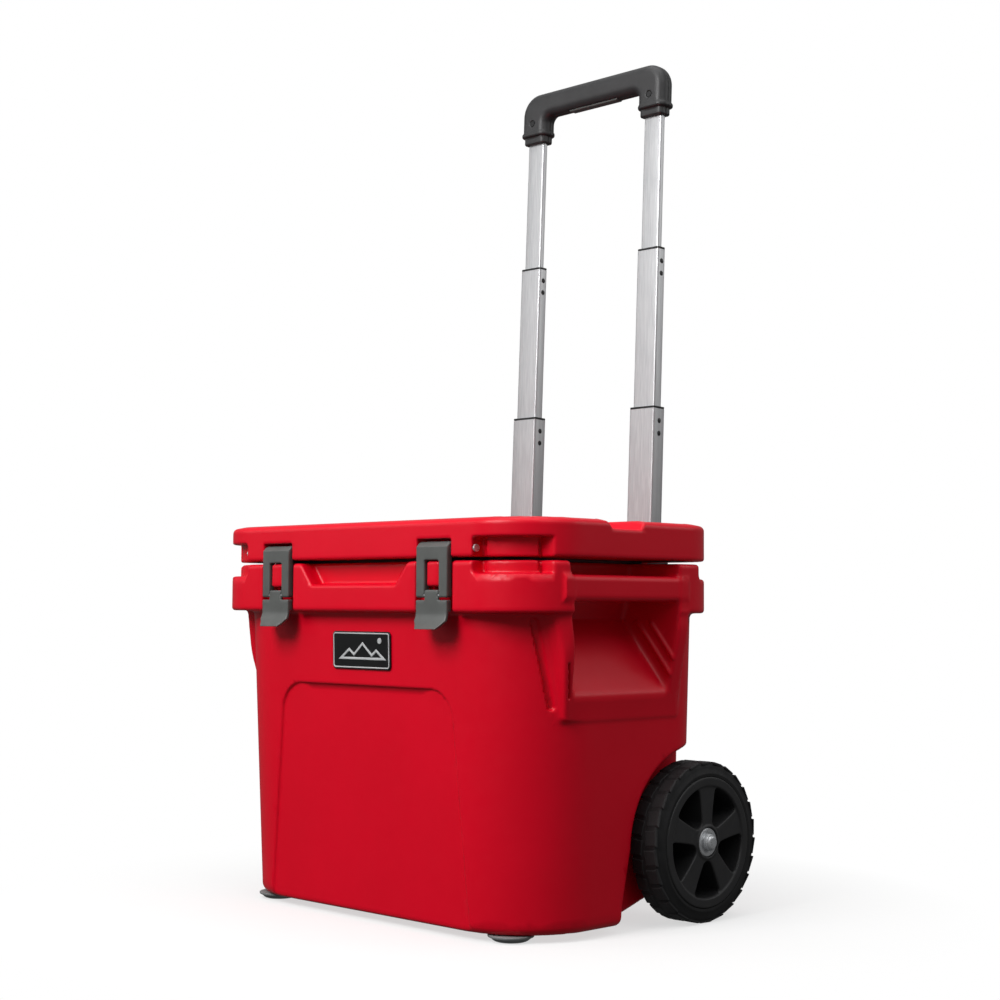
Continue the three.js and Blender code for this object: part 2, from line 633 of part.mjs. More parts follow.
for (const { sign, tag } of sides) {
  const tubeX = sign * handleX;
  place(`foot_front_${tag}`, foot(), looks.foot, cooler, [sign * 204, 62, 0]);
  place(`foot_rear_${tag}`, foot(), looks.foot, cooler, [sign * 196, 168, 0]);
  place(`hinge_pin_${tag}`, rodX(4, sign * (hingeX - 15.5), sign * (hingeX + 15.5), hingeY, hingeZ, 16), looks.steel);
  place(`latch_pin_${tag}`, latchPin(sign), looks.steel);
  place(`latch_frame_${tag}`, latchFrame(sign * latchX), looks.latch);
  place(`latch_lever_${tag}`, latchLever(sign * latchX), looks.latch);
  place(`lever_pin_${tag}`, leverPin(sign * latchX), looks.steel);
  place(`outer_tube_${tag}`,
    squareTube(tubeX, outerTube.width, outerTube.deep, outerTube.bottom, outerTube.top), looks.tube, handle);
  stages.forEach((stage, i) => {
    place(`${stage.name}_tube_${tag}`, squareTube(tubeX, stage.width, stage.deep, stage.bottom, stage.top),
      looks.tube, handle);
    if (i + 1 < stages.length) {
      place(`${stage.name}_collar_${tag}`, collar(tubeX, stage, stages[i + 1]), looks.grip, handle);
    }
  });
  place(`grip_screw_${tag}`, gripScrew(tubeX), looks.steel, handle);
  place(`trigger_spring_${tag}`, triggerSpring(sign * 34), looks.steel, handle);

  const wheel = new THREE.Group();
  wheel.position.set(0, wheelY, wheelRadius);
  wheel.rotation.z = sign < 0 ? Math.PI : 0;
  cooler.add(wheel);
  place(`wheel_rim_${tag}`, wheelRim(), looks.wheel, wheel);
  place(`wheel_tyre_${tag}`, wheelTyre(), looks.rubber, wheel);
  place(`wheel_bush_${tag}`, ring(axleRadius + gap, 9.2, 244.5, 283.8), looks.seal, wheel);
  place(`axle_spacer_${tag}`, ring(axleRadius + gap, 11, wellWall + gap, 243.6), looks.steel, wheel);
  place(`axle_washer_${tag}`, ring(axleRadius + gap, 16.5, 284.4, 286.6, 18), looks.steel, wheel);
  place(`axle_nut_${tag}`, axleNut(), looks.steel, wheel);
}

export default cooler;
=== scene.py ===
import json
import math

import bmesh
import bpy
import numpy as np
import openvdb
from mathutils import Matrix, Vector

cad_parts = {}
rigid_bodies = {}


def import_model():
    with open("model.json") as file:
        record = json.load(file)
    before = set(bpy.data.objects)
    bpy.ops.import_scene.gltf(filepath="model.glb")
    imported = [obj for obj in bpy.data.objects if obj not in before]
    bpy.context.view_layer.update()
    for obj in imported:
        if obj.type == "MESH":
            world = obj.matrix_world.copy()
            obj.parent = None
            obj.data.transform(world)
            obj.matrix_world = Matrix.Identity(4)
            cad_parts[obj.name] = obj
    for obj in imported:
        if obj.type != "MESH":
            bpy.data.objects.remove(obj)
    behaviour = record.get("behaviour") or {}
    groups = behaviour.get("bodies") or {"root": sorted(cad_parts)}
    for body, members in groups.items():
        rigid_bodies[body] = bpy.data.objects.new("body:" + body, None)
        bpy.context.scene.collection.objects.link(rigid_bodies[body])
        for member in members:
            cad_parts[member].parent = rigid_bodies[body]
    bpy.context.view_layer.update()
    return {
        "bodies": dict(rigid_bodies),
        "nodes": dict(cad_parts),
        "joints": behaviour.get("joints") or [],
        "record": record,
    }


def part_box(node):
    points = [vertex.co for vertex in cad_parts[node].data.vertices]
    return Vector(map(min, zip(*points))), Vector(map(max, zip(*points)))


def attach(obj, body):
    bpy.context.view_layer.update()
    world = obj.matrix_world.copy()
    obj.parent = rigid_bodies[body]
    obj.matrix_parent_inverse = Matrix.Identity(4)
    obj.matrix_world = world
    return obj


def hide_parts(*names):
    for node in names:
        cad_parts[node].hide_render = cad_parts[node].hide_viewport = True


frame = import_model()
nodes = frame["nodes"]
print("frame loaded:", len(nodes), "nodes")


def boxMm(node):
    low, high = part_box(node)
    return np.array(low) * 1000, np.array(high) * 1000


lidLow, lidHigh = boxMm("lid_shell")
bodyLow, bodyHigh = boxMm("body_shell")
halfWidth = lidHigh[0]
frontY = bodyLow[1]                     # pieces are modelled with y = 0 on the lid's front
depth = 346.0                           # lid and band, front to back
lidTop = lidHigh[2]
lidBottom = 422.5
rimTop = 418.5
bandBottom = 361.0
cornerRadius = 74.0
frontRadius = 86.0                      # the front corners are rounder than the back ones
wallInset = 17.0                        # body wall behind the band
draft = 0.0255
tubeX = 106.0
handleY = 385.4
lean = math.atan(0.0393)                # the handle leans back
wheelY, wheelZ = 306.6, 93.8
latchX = 140.0
latchPinY, latchPinZ = 6.0, 432.0
leverPinY, leverPinZ = -1.2, 380.0
hingeY, hingeZ = 326.0, 419.0
shift = Vector((0, frontY, 0))
sides = ((-1, "left"), (1, "right"))


# A field holds the distance to a surface, negative inside. Joins and cuts leave
# a true fillet, which is what a rotational mould gives its edges.

def gridOf(low, high, cell):
    lines = [np.arange(low[i], high[i] + cell * 0.5, cell, dtype=np.float32) for i in range(3)]
    return np.meshgrid(*lines, indexing="ij", sparse=True)


def span(w, low, high):
    return np.abs(w - (low + high) / 2) - (high - low) / 2


def rect(u, v, u0, u1, v0, v1, radius=0.0):
    a = span(u, u0, u1) + radius
    b = span(v, v0, v1) + radius
    return np.hypot(np.maximum(a, 0), np.maximum(b, 0)) + np.minimum(np.maximum(a, b), 0) - radius


def join(a, b, radius=0.0):
    if not radius:
        return np.minimum(a, b)
    fillet = np.hypot(np.maximum(radius - a, 0), np.maximum(radius - b, 0))
    return np.maximum(radius, np.minimum(a, b)) - fillet


def common(a, b, radius=0.0):
    if not radius:
        return np.maximum(a, b)
    fillet = np.hypot(np.maximum(radius + a, 0), np.maximum(radius + b, 0))
    return np.minimum(-radius, np.maximum(a, b)) + fillet


def cut(a, b, radius=0.0):
    return common(a, -b, radius)


def disc(u, v, u0, v0, radius):
    return np.hypot(u - u0, v - v0) - radius


def capsule(u, v, u0, v0, u1, v1, radius):
    du, dv = u1 - u0, v1 - v0
    t = np.clip(((u - u0) * du + (v - v0) * dv) / (du * du + dv * dv), 0, 1)
    return np.hypot(u - u0 - t * du, v - v0 - t * dv) - radius


def outline(u, v, points):
    near = None
    inside = None
    for (a0, b0), (a1, b1) in zip(points, points[1:] + points[:1]):
        da, db = a1 - a0, b1 - b0
        t = np.clip(((u - a0) * da + (v - b0) * db) / (da * da + db * db), 0, 1)
        gap = (u - a0 - t * da) ** 2 + (v - b0 - t * db) ** 2
        near = gap if near is None else np.minimum(near, gap)
        crosses = ((b0 > v) != (b1 > v)) & (u < da * (v - b0) / (db if db else 1e-9) + a0)
        inside = crosses if inside is None else inside ^ crosses
    return np.where(inside, -1, 1) * np.sqrt(near)


def sample(field, p):
    low = np.clip(np.floor(p).astype(int), 0, np.array(field.shape) - 2)
    t = np.clip(p - low, 0, 1)
    total = 0
    for corner in range(8):
        step = np.array([corner >> 2 & 1, corner >> 1 & 1, corner & 1])
        share = np.prod(np.where(step, t, 1 - t), axis=1)
        at = low + step
        total = total + share * field[at[:, 0], at[:, 1], at[:, 2]]
    return total


def slopes(field, p):
    steps = np.eye(3) * 0.7
    slope = np.stack([sample(field, p + step) - sample(field, p - step) for step in steps], axis=1)
    return slope / np.maximum(np.linalg.norm(slope, axis=1, keepdims=True), 1e-9)


def newPiece(name, mesh, material):
    piece = bpy.data.objects.new(name, mesh)
    bpy.context.scene.collection.objects.link(piece)
    mesh.materials.clear()
    mesh.materials.append(material)
    return piece


def thinned(mesh, target):
    holder = bpy.data.objects.new("holder", mesh)
    bpy.context.scene.collection.objects.link(holder)
    modifier = holder.modifiers.new("thin", "DECIMATE")
    modifier.ratio = target / sum(len(p.vertices) - 2 for p in mesh.polygons)
    bpy.context.view_layer.update()
    lighter = bpy.data.meshes.new_from_object(holder.evaluated_get(bpy.context.evaluated_depsgraph_get()))
    bpy.data.objects.remove(holder)
    return lighter


def fieldMesh(name, field, low, cell, place=None, mirrored=False, flatness=0.0, limit=190000):
    origin = np.array(low, dtype=float)
    if mirrored:
        field = np.concatenate([field[:0:-1], field])
        origin[0] = -(field.shape[0] // 2) * cell
    field = np.ascontiguousarray(field, dtype=np.float32)
    band = 3 * cell
    grid = openvdb.FloatGrid(band)
    grid.copyFromArray(np.clip(field, -band, band))
    points, triangles, quads = grid.convertToPolygons(0.0, flatness)
    faces = triangles.tolist() + quads.tolist()
    mesh = bpy.data.meshes.new(name)
    mesh.from_pydata(points.tolist(), [], faces)
    mesh.validate()
    if len(triangles) + 2 * len(quads) > limit:
        mesh = thinned(mesh, limit)
    spots = np.zeros(len(mesh.vertices) * 3)
    mesh.vertices.foreach_get("co", spots)
    spots = spots.reshape(-1, 3)
    normals = slopes(field, spots)
    spots = spots * cell + origin
    if place is not None:
        turn = np.array(place.to_3x3())
        spots = spots @ turn.T + np.array(place.translation)
        normals = normals @ turn.T
    spots = (spots + np.array(shift)) / 1000
    mesh.vertices.foreach_set("co", spots.ravel())
    mesh.update()
    mesh.polygons.foreach_set("use_smooth", [True] * len(mesh.polygons))
    mesh.normals_split_custom_set_from_vertices(normals.tolist())
    return mesh


def linear(code):
    parts = [int(code[i:i + 2], 16) / 255 for i in (1, 3, 5)]
    return [p / 12.92 if p <= 0.04045 else ((p + 0.055) / 1.055) ** 2.4 for p in parts] + [1.0]


def addNode(tree, kind, settings=None, links=None):
    node = tree.nodes.new(kind)
    for key, value in (settings or {}).items():
        if isinstance(key, str) and hasattr(node, key):
            setattr(node, key, value)
        else:
            node.inputs[key].default_value = value
    for key, source in (links or {}).items():
        tree.links.new(source, node.inputs[key])
    return node


def mouldedFinish(name, look):
    # A whole surface: cloudy colour and roughness, edges worn paler, and layers of relief
    # given as (size, depth, strength), all in millimetres.
    material = bpy.data.materials.new(name)
    material.use_nodes = True
    tree = material.node_tree
    tree.nodes.clear()
    shader = addNode(tree, "ShaderNodeBsdfPrincipled", look["shader"])
    addNode(tree, "ShaderNodeOutputMaterial", None, {"Surface": shader.outputs["BSDF"]})
    place = addNode(tree, "ShaderNodeTexCoord").outputs["Object"]
    if "stretch" in look:
        place = addNode(tree, "ShaderNodeMapping", {"Scale": look["stretch"]}, {"Vector": place}).outputs[0]
    cloud = addNode(tree, "ShaderNodeTexNoise",
                    {"Scale": 1000 / look["cloudMm"], "Detail": 4.0, "Roughness": 0.6},
                    {"Vector": place}).outputs["Fac"]
    spread = addNode(tree, "ShaderNodeMapRange", {"From Min": 0.35, "From Max": 0.65},
                     {"Value": cloud}).outputs[0]
    colour = addNode(tree, "ShaderNodeMix",
                     {"data_type": "RGBA", 6: linear(look["colour"]), 7: linear(look["cloud"])},
                     {0: spread}).outputs[2]
    if "worn" in look:
        edge = addNode(tree, "ShaderNodeNewGeometry").outputs["Pointiness"]
        rub = addNode(tree, "ShaderNodeMapRange", {"From Min": 0.53, "From Max": 0.60, "To Max": look["wear"]},
                      {"Value": edge}).outputs[0]
        colour = addNode(tree, "ShaderNodeMix", {"data_type": "RGBA", 7: linear(look["worn"])},
                         {0: rub, 6: colour}).outputs[2]
    tree.links.new(colour, shader.inputs["Base Color"])
    scuff = addNode(tree, "ShaderNodeTexNoise",
                    {"Scale": 1000 / look["scuffMm"], "Detail": 5.0, "Roughness": 0.65},
                    {"Vector": place}).outputs["Fac"]
    low, high = look["gloss"]
    gloss = addNode(tree, "ShaderNodeMapRange",
                    {"From Min": 0.3, "From Max": 0.7, "To Min": low, "To Max": high},
                    {"Value": scuff}).outputs[0]
    tree.links.new(gloss, shader.inputs["Roughness"])
    normal = None
    for sizeMm, depthMm, strength in look["relief"]:
        height = addNode(tree, "ShaderNodeTexNoise", {"Scale": 1000 / sizeMm, "Detail": 2.0}, {"Vector": place})
        links = {"Height": height.outputs["Fac"]}
        if normal:
            links["Normal"] = normal
        settings = {"Distance": depthMm / 1000, "Strength": strength}
        normal = addNode(tree, "ShaderNodeBump", settings, links).outputs[0]
    tree.links.new(normal, shader.inputs["Normal"])
    return material


# Rotationally moulded polyethylene: coloured right through, with a low waviness and a fine matt
# grain, so its highlights are broad and soft and it keeps a deep, even colour.
shellPlastic = mouldedFinish("rotomouldedPolyethylene", {
    "shader": {"IOR": 1.51, "Specular IOR Level": 0.28}, "colour": "#E10023", "cloud": "#DC0021", "cloudMm": 120.0,
    "worn": "#E6283F", "wear": 0.35, "scuffMm": 16.0, "gloss": (0.31, 0.40),
    "relief": [(46.0, 0.8, 0.08), (1.0, 0.05, 0.16)]})
# Glass-filled nylon from an etched mould: an even satin with a tight grain, paler where hands rub it.
nylonGrain = [(6.0, 0.04, 0.20), (0.8, 0.05, 0.32)]
latchNylon = mouldedFinish("mouldedNylonWarmGrey", {
    "shader": {"IOR": 1.53, "Specular IOR Level": 0.45}, "colour": "#5C5E5C", "cloud": "#545654", "cloudMm": 30.0,
    "worn": "#7C7E7C", "wear": 0.5, "scuffMm": 6.0, "gloss": (0.38, 0.50), "relief": nylonGrain})
gripNylon = mouldedFinish("mouldedNylonCharcoal", {
    "shader": {"IOR": 1.53, "Specular IOR Level": 0.42}, "colour": "#353536", "cloud": "#2F2F30", "cloudMm": 30.0,
    "worn": "#5A5A5B", "wear": 0.4, "scuffMm": 6.0, "gloss": (0.40, 0.52), "relief": nylonGrain})
wheelNylon = mouldedFinish("mouldedNylonBlack", {
    "shader": {"IOR": 1.53, "Specular IOR Level": 0.40}, "colour": "#2B2B2C", "cloud": "#252526", "cloudMm": 24.0,
    "worn": "#474748", "wear": 0.35, "scuffMm": 8.0, "gloss": (0.46, 0.60), "relief": nylonGrain})
darkNylon = mouldedFinish("mouldedNylonJet", {
    "shader": {"IOR": 1.53, "Specular IOR Level": 0.40}, "colour": "#1B1B1C", "cloud": "#151516", "cloudMm": 24.0,
    "scuffMm": 6.0, "gloss": (0.44, 0.56), "relief": nylonGrain})
# Injection-moulded ABS from a polished tool: smoother and glossier than the nylon beside it.
badgeAbs = mouldedFinish("mouldedAbsBlack", {
    "shader": {"IOR": 1.54, "Specular IOR Level": 0.40}, "colour": "#131415", "cloud": "#0F1011", "cloudMm": 20.0,
    "scuffMm": 5.0, "gloss": (0.30, 0.38), "relief": [(1.2, 0.03, 0.15)]})
paleAbs = mouldedFinish("mouldedAbsPaleGrey", {
    "shader": {"IOR": 1.54, "Specular IOR Level": 0.40}, "colour": "#C6C8C9", "cloud": "#BABCBD", "cloudMm": 20.0,
    "scuffMm": 5.0, "gloss": (0.34, 0.44), "relief": [(1.2, 0.03, 0.15)]})
# Extruded aluminium, brushed along its length and anodised: pale and silky, with faint lines down
# the tube. The lines are drawn about 1 mm wide, coarser than real ones, so that they show.
tubeAluminium = mouldedFinish("brushedAnodisedAluminium", {
    "shader": {"Metallic": 0.85}, "stretch": (1.0, 1.0, 0.012), "colour": "#CFD0D1", "cloud": "#BDBEC0",
    "cloudMm": 1.6, "scuffMm": 1.1, "gloss": (0.36, 0.46), "relief": [(1.1, 0.02, 0.25)]})
# Turned steel, zinc plated and passivated: half mirror, half chalky white, so it stays bright in shade.
steel = mouldedFinish("zincPlatedSteel", {
    "shader": {"Metallic": 0.6}, "colour": "#DCDEE0", "cloud": "#C6C9CC", "cloudMm": 6.0,
    "scuffMm": 3.0, "gloss": (0.24, 0.36), "relief": [(2.5, 0.01, 0.12)]})
# Compression-moulded rubber: dark and dry, with a dusty bloom in patches and paler rubbed edges.
tyreRubber = mouldedFinish("solidRubberBlack", {
    "shader": {"IOR": 1.5, "Specular IOR Level": 0.30}, "colour": "#1A1A1B", "cloud": "#222223", "cloudMm": 22.0,
    "worn": "#333334", "wear": 0.5, "scuffMm": 12.0, "gloss": (0.55, 0.74),
    "relief": [(5.0, 0.06, 0.2), (1.1, 0.06, 0.35)]})
footRubber = mouldedFinish("solidRubberGrey", {
    "shader": {"IOR": 1.5, "Specular IOR Level": 0.35}, "colour": "#8C8E8E", "cloud": "#7F8181", "cloudMm": 14.0,
    "scuffMm": 8.0, "gloss": (0.42, 0.60), "relief": [(1.1, 0.05, 0.3)]})
sealRubber = mouldedFinish("gasketRubber", {
    "shader": {"IOR": 1.5, "Specular IOR Level": 0.35}, "colour": "#6C6E70", "cloud": "#616365", "cloudMm": 14.0,
    "scuffMm": 8.0, "gloss": (0.5, 0.68), "relief": [(1.1, 0.05, 0.3)]})
# Closed-cell polyurethane, poured in place: dull and creamy, with fine cells.
foam = mouldedFinish("pouredFoam", {
    "shader": {"IOR": 1.45, "Specular IOR Level": 0.25}, "colour": "#E4D6A8", "cloud": "#CDBB82", "cloudMm": 1.8,
    "scuffMm": 3.0, "gloss": (0.80, 0.95), "relief": [(1.6, 0.3, 0.6)]})
print("materials made")


bodyLook = {"cellMm": 2.0, "edge": 4.0, "wallRadius": 114.0, "radiusGrowth": 0.045, "frameRadius": 110.0,
            "foamInset": 6.0, "foamCellMm": 4.0, "floorEdge": 11.0, "panelDepth": 3.0, "pocketDepth": 12.5,
            "deepPocket": 18.0, "fingerDepth": 20.0, "wellRadius": 110.0, "wellWall": 228.0}


def chestPlan(x, y, frontRadius=frontRadius):
    return rect(x, y, -halfWidth, halfWidth, 0, depth, np.where(y < depth / 2, frontRadius, cornerRadius))


def cornerRun(x, y):
    # Distance along the front corner, from x = 201 on the front round to the side.
    start, centreX, centreY = 201, halfWidth - frontRadius, frontRadius
    along = centreX - start + frontRadius * np.arctan2(x - centreX, np.maximum(centreY - y, 0.01))
    return np.where(x < centreX, x - start, along)


def cornerPocketField(x, y, z, plan, z0, z1):
    run = cornerRun(x, y)
    front = np.maximum(y - 49, 190 - x)
    face = rect(run, z, 0, 101, z0, z1, 7)
    panel = common(face, -(plan + bodyLook["pocketDepth"]), 1.5)
    ends = np.minimum(rect(run, z, 0, 12, z0, z1, 5), rect(run, z, 83, 96, z0, z1, 5))
    deep = common(ends, -(plan + bodyLook["deepPocket"]), 1.5)
    return np.maximum(np.minimum(panel, deep), front)


def wheelWellField(y, z):
    radius = bodyLook["wellRadius"]
    circle = disc(y, z, wheelY, wheelZ, radius)
    lower = outline(y, z, [(181, -40), (184, 30), (wheelY - radius, wheelZ), (460, wheelZ), (460, -40)])
    rear = np.maximum(wheelY - y, z - wheelZ - radius)
    return np.minimum(np.minimum(circle, lower), rear)


def sidePocketField(x, y, z):
    rearY = 254 - (halfWidth - x) * 0.30
    nearY = 76 + (bandBottom - z) * 0.12
    face = common(common(nearY - y, 251 - z, 10), common(y - rearY, 251 - z, 24), 1)
    slope = outline(x, z, [(340, 248), (279, 261), (217, 354), (221, 369), (229, 440), (340, 440)])
    space = common(face, slope, 5)
    backX = 279 - (z - 261) * 0.667
    for offset in (17, 33):
        ridge = np.hypot((x - backX - offset) * 0.83, y - rearY) - 2.6
        ridge = np.maximum(ridge, span(z, 262, 352))
        space = cut(space, ridge, 1)
    return space


def bodyField(x, y, z):
    plan = chestPlan(x, y)
    below = np.clip(bandBottom - z, 0, None)
    inset = wallInset + below * draft
    wallPlan = chestPlan(x, y, bodyLook["wallRadius"] + below * bodyLook["radiusGrowth"])
    wall = common(wallPlan + inset, span(z, 8, 390), bodyLook["floorEdge"])
    band = common(plan, span(z, bandBottom, rimTop), bodyLook["edge"])
    solid = join(wall, band, 5)

    frameFace = outline(x, z, [(236, 240), (268, 243), (halfWidth, 345), (halfWidth, 362), (236, 362)])
    frameFront = 56 + (bandBottom - z) * 0.2
    frameSide = common(frameFace, np.maximum(frameFront - y, y - 272), 5)
    frame = common(frameSide, chestPlan(x, y, bodyLook["frameRadius"]), 4)
    solid = join(solid, frame, 5)

    leanY = (y - handleY) * math.cos(lean) - z * math.sin(lean)
    leanZ = (y - handleY) * math.sin(lean) + z * math.cos(lean)
    rib = common(rect(x, leanY, tubeX - 31, tubeX + 31, -90, 4, 7), span(leanZ, 62, 389), 4)
    solid = join(solid, rib, 6)
    channel = np.maximum(rect(x, leanY, tubeX - 23.5, tubeX + 23.5, -13.7, 40, 0.5), leanZ - 420)
    solid = cut(solid, np.maximum(channel, 40 - leanZ), 1.5)

    underside = (z - 8 - (y - 202) * (37 / 124)) * math.cos(math.atan(37 / 124))
    solid = cut(solid, common(common(underside, 202 - y, 6), z - 45.5, 3), 9)
    solid = cut(solid, np.maximum(wheelWellField(y, z), bodyLook["wellWall"] - x), 5)

    step = common(common(-(plan + 12.5), bandBottom + 40.5 - z, 4), 294 - y, 6)
    solid = cut(solid, step, 4)
    solid = cut(solid, np.maximum(328 - y, 398 - z), 2)

    sideEdge = np.abs(x) - (151 + (244 - z) * (25 / 254))
    panel = common(sideEdge, z - 274, 32)
    panel = np.maximum(panel, y - inset - bodyLook["panelDepth"])
    solid = cut(solid, panel, 1.5)

    finger = outline(x, z, [(-75, 392.5), (75, 392.5), (105, 430), (-105, 430)])
    solid = cut(solid, common(finger, y - bodyLook["fingerDepth"], 4), 3)
    latchBay = common(rect(x, z, latchX - 29.5, latchX + 29.5, 340, 460, 3), y - 12, 2)
    solid = cut(solid, latchBay, 2.5)

    solid = cut(solid, cornerPocketField(x, y, z, plan, 404, 470), 2.5)
    groove = capsule(y, z, 71, 258, 52.5, 352, 3.4)
    solid = cut(solid, np.maximum(groove, -(wallPlan + inset + 4)), 1.5)
    slit = capsule(y, z, 81.5, 268, 74, 306, 1.3)
    solid = cut(solid, np.maximum(slit, halfWidth - 28 - x), 1)
    solid = cut(solid, sidePocketField(x, y, z), 3)

    bar = rect(x, z, 262, halfWidth, 374.5, 403.5, 6)
    solid = join(solid, common(bar, span(y, 60, 268)), 4)
    keeper = common(rect(x, z, latchX - 10.2, latchX + 10.2, 389.8, 418.3, 3), span(y, -1.2, 20), 3)
    solid = join(solid, keeper)

    room = common(rect(x, y, -212, 212, 46, 284, 34), 60 - z, 22)
    solid = cut(solid, room, 4)
    solid = cut(solid, np.maximum(disc(x, z, 0, 74, 9), 270 - y), 1)
    solid = cut(solid, np.maximum(disc(x, z, 0, 330, 10), 318 - y))
    solid = cut(solid, disc(y, z, wheelY, wheelZ, 6.6) + 0 * x)

    knuckleBay = np.minimum(disc(y, z, hingeY, hingeZ, 10.6), np.maximum(hingeY - y, 405 - z))
    solid = cut(solid, np.maximum(knuckleBay, span(x, 149.8, 172.2)))
    knuckle = np.minimum(disc(y, z, hingeY, hingeZ, 9), np.maximum(span(y, 317, 328), span(z, 405, hingeZ)))
    solid = join(solid, np.maximum(knuckle, span(x, 130, 149.6)))
    return cut(solid, np.maximum(disc(y, z, hingeY, hingeZ, 4.4), span(x, 134, 151)))


def makeBody():
    cell = bodyLook["cellMm"]
    low, high = (0, -4, 2), (294, 398, 436)
    x, y, z = gridOf(low, high, cell)
    mesh = fieldMesh("chestBody", bodyField(x, y, z), low, cell, mirrored=True, flatness=0.02)
    body = newPiece("chestBody", mesh, shellPlastic)
    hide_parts("body_shell")
    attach(body, "root")
    cell = bodyLook["foamCellMm"]
    x, y, z = gridOf(low, high, cell)
    filling = common(bodyField(x, y, z) + bodyLook["foamInset"], chestPlan(x, y, bodyLook["wallRadius"]) + 24)
    mesh = fieldMesh("bodyFoam", filling, low, cell, mirrored=True, flatness=0.05)
    core = newPiece("bodyFoam", mesh, foam)
    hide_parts("body_foam_core")
    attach(core, "root")
    print("body and its foam:", len(mesh.polygons), "faces of foam")


lidLook = {"cellMm": 1.6, "topEdge": 5.0, "lowerEdge": 3.0, "crownSlope": 0.20}


def lidField(x, y, z):
    plan = chestPlan(x, y)
    crown = z - lidTop + lidLook["crownSlope"] * np.maximum(plan + 15, 0)
    solid = common(common(plan, crown, lidLook["topEdge"]), lidBottom - z, lidLook["lowerEdge"])
    boss = common(rect(x, y, -206, 206, 52, 278, 28), span(z, 411, 430), 4)
    solid = join(solid, boss, 1)
    groove = outline(y, z, [(124, 476), (128, 467), (136, 455.5), (185, 455.5), (193, 467), (197, 476)])
    solid = cut(solid, groove + 0 * x, 3)
    latchBay = common(rect(x, z, latchX - 27.5, latchX + 27.5, 400, 443, 2), y - 18, 2)
    solid = cut(solid, latchBay, 2)
    solid = cut(solid, cornerPocketField(x, y, z, plan, 380, 444.5), 2)
    solid = cut(solid, np.maximum(disc(x, y, 0, 165, 9), z - 428.5))
    solid = cut(solid, np.maximum(disc(y, z, latchPinY, latchPinZ, 2.8), span(x, 100, 204)))
    solid = cut(solid, np.maximum(disc(y, z, hingeY, hingeZ, 10.4), span(x, 128, 150.2)))
    knuckle = np.minimum(disc(y, z, hingeY, hingeZ, 9), np.maximum(span(y, 319, 333), span(z, hingeZ, 426)))
    solid = join(solid, np.maximum(knuckle, span(x, 150.3, 170)))
    return cut(solid, np.maximum(disc(y, z, hingeY, hingeZ, 4.4), span(x, 149, 166)))


def makeLid():
    cell = lidLook["cellMm"]
    low = (0, -4, 404)
    x, y, z = gridOf(low, (294, 352, 472), cell)
    mesh = fieldMesh("chestLid", lidField(x, y, z), low, cell, mirrored=True, flatness=0.02)
    lid = newPiece("chestLid", mesh, shellPlastic)
    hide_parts("lid_shell")
    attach(lid, "lid")
    print("lid:", len(mesh.polygons), "faces")


latchLook = {"cellMm": 0.7, "half": 25.3, "windowHalf": 11.6, "front": -3.2, "back": 6.0, "edge": 1.8}


def latchFrameField(x, y, z):
    half, window = latchLook["half"], latchLook["windowHalf"]
    face = rect(x, z, -half, half, 377.5, 440.2, 2.5)
    face = cut(face, rect(x, z, -window, window, 340, 419.2, 2.5), 1.5)
    front = np.maximum(latchLook["front"] - y, (z - 434.5) * 0.7 - (y + 3.0) * 0.7)
    plate = common(face, np.maximum(front, y - latchLook["back"]), latchLook["edge"])
    barrel = common(disc(y, z, latchPinY, latchPinZ, 7.6), span(x, -half, half), 1)
    solid = join(plate, barrel, 1)
    solid = cut(solid, disc(y, z, latchPinY, latchPinZ, 2.7) + 0 * x)
    return cut(solid, np.maximum(disc(y, z, leverPinY, leverPinZ, 1.6), span(x, -22, 22)))


def latchLeverField(x, y, z):
    half, front, thinBack = latchLook["half"], latchLook["front"], 0.8
    wide = outline(x, z, [(-half, 351), (-half + 9, 342), (half - 9, 342), (half, 351), (half, 374.7),
                          (-half, 374.7)])
    neck = rect(x, z, -11.2, 11.2, 365, 386, 2)
    face = join(wide + 1, neck + 1, 1.5) - 1
    curl = 11 * np.clip((361 - z) / 19, 0, 1) ** 2
    skinFront = front - curl - y
    skinBack = y - thinBack + curl * 0.72
    ribs = np.maximum(np.maximum(10.5 - np.abs(x), 361.5 - z), y - 5)
    plate = common(face, np.maximum(skinFront, np.minimum(skinBack, ribs)), 1.6)
    return cut(plate, np.maximum(disc(y, z, leverPinY, leverPinZ, 1.6), span(x, -22, 22)))


def makeLatches():
    cell = latchLook["cellMm"]
    for part, field, low, high in (("Frame", latchFrameField, (-28, -8, 374), (28, 16, 443)),
                                   ("Lever", latchLeverField, (-28, -17, 339), (28, 8, 389))):
        x, y, z = gridOf(low, high, cell)
        values = field(x, y, z)
        for side, tag in sides:
            place = Matrix.Translation((side * latchX, 0, 0))
            mesh = fieldMesh(f"latch{part}_{tag}", values, low, cell, place, flatness=0.01)
            piece = newPiece(f"latch{part}_{tag}", mesh, latchNylon)
            node = f"latch_{part.lower()}_{tag}"
            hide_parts(node)
            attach(piece, node)
    print("latches: frames and levers")


leanPlace = Matrix.Translation((0, handleY, 0)) @ Matrix.Rotation(-lean, 4, "X")
gripLook = {"cellMm": 0.9, "halfWidth": 128.0, "depth": 28.0, "bottom": 1014.0, "top": 1084.0, "bar": 34.0,
            "bend": 30.0, "round": 11.0, "lip": 1.8, "sleeve": 3.0}
tubeSizes = {"outer": (46.4, 26.7, 60, 440), "lower": (41.6, 21.9, 385, 625), "middle": (35.9, 14.7, 570, 835),
             "upper": (29.3, 8.4, 780, 1030)}


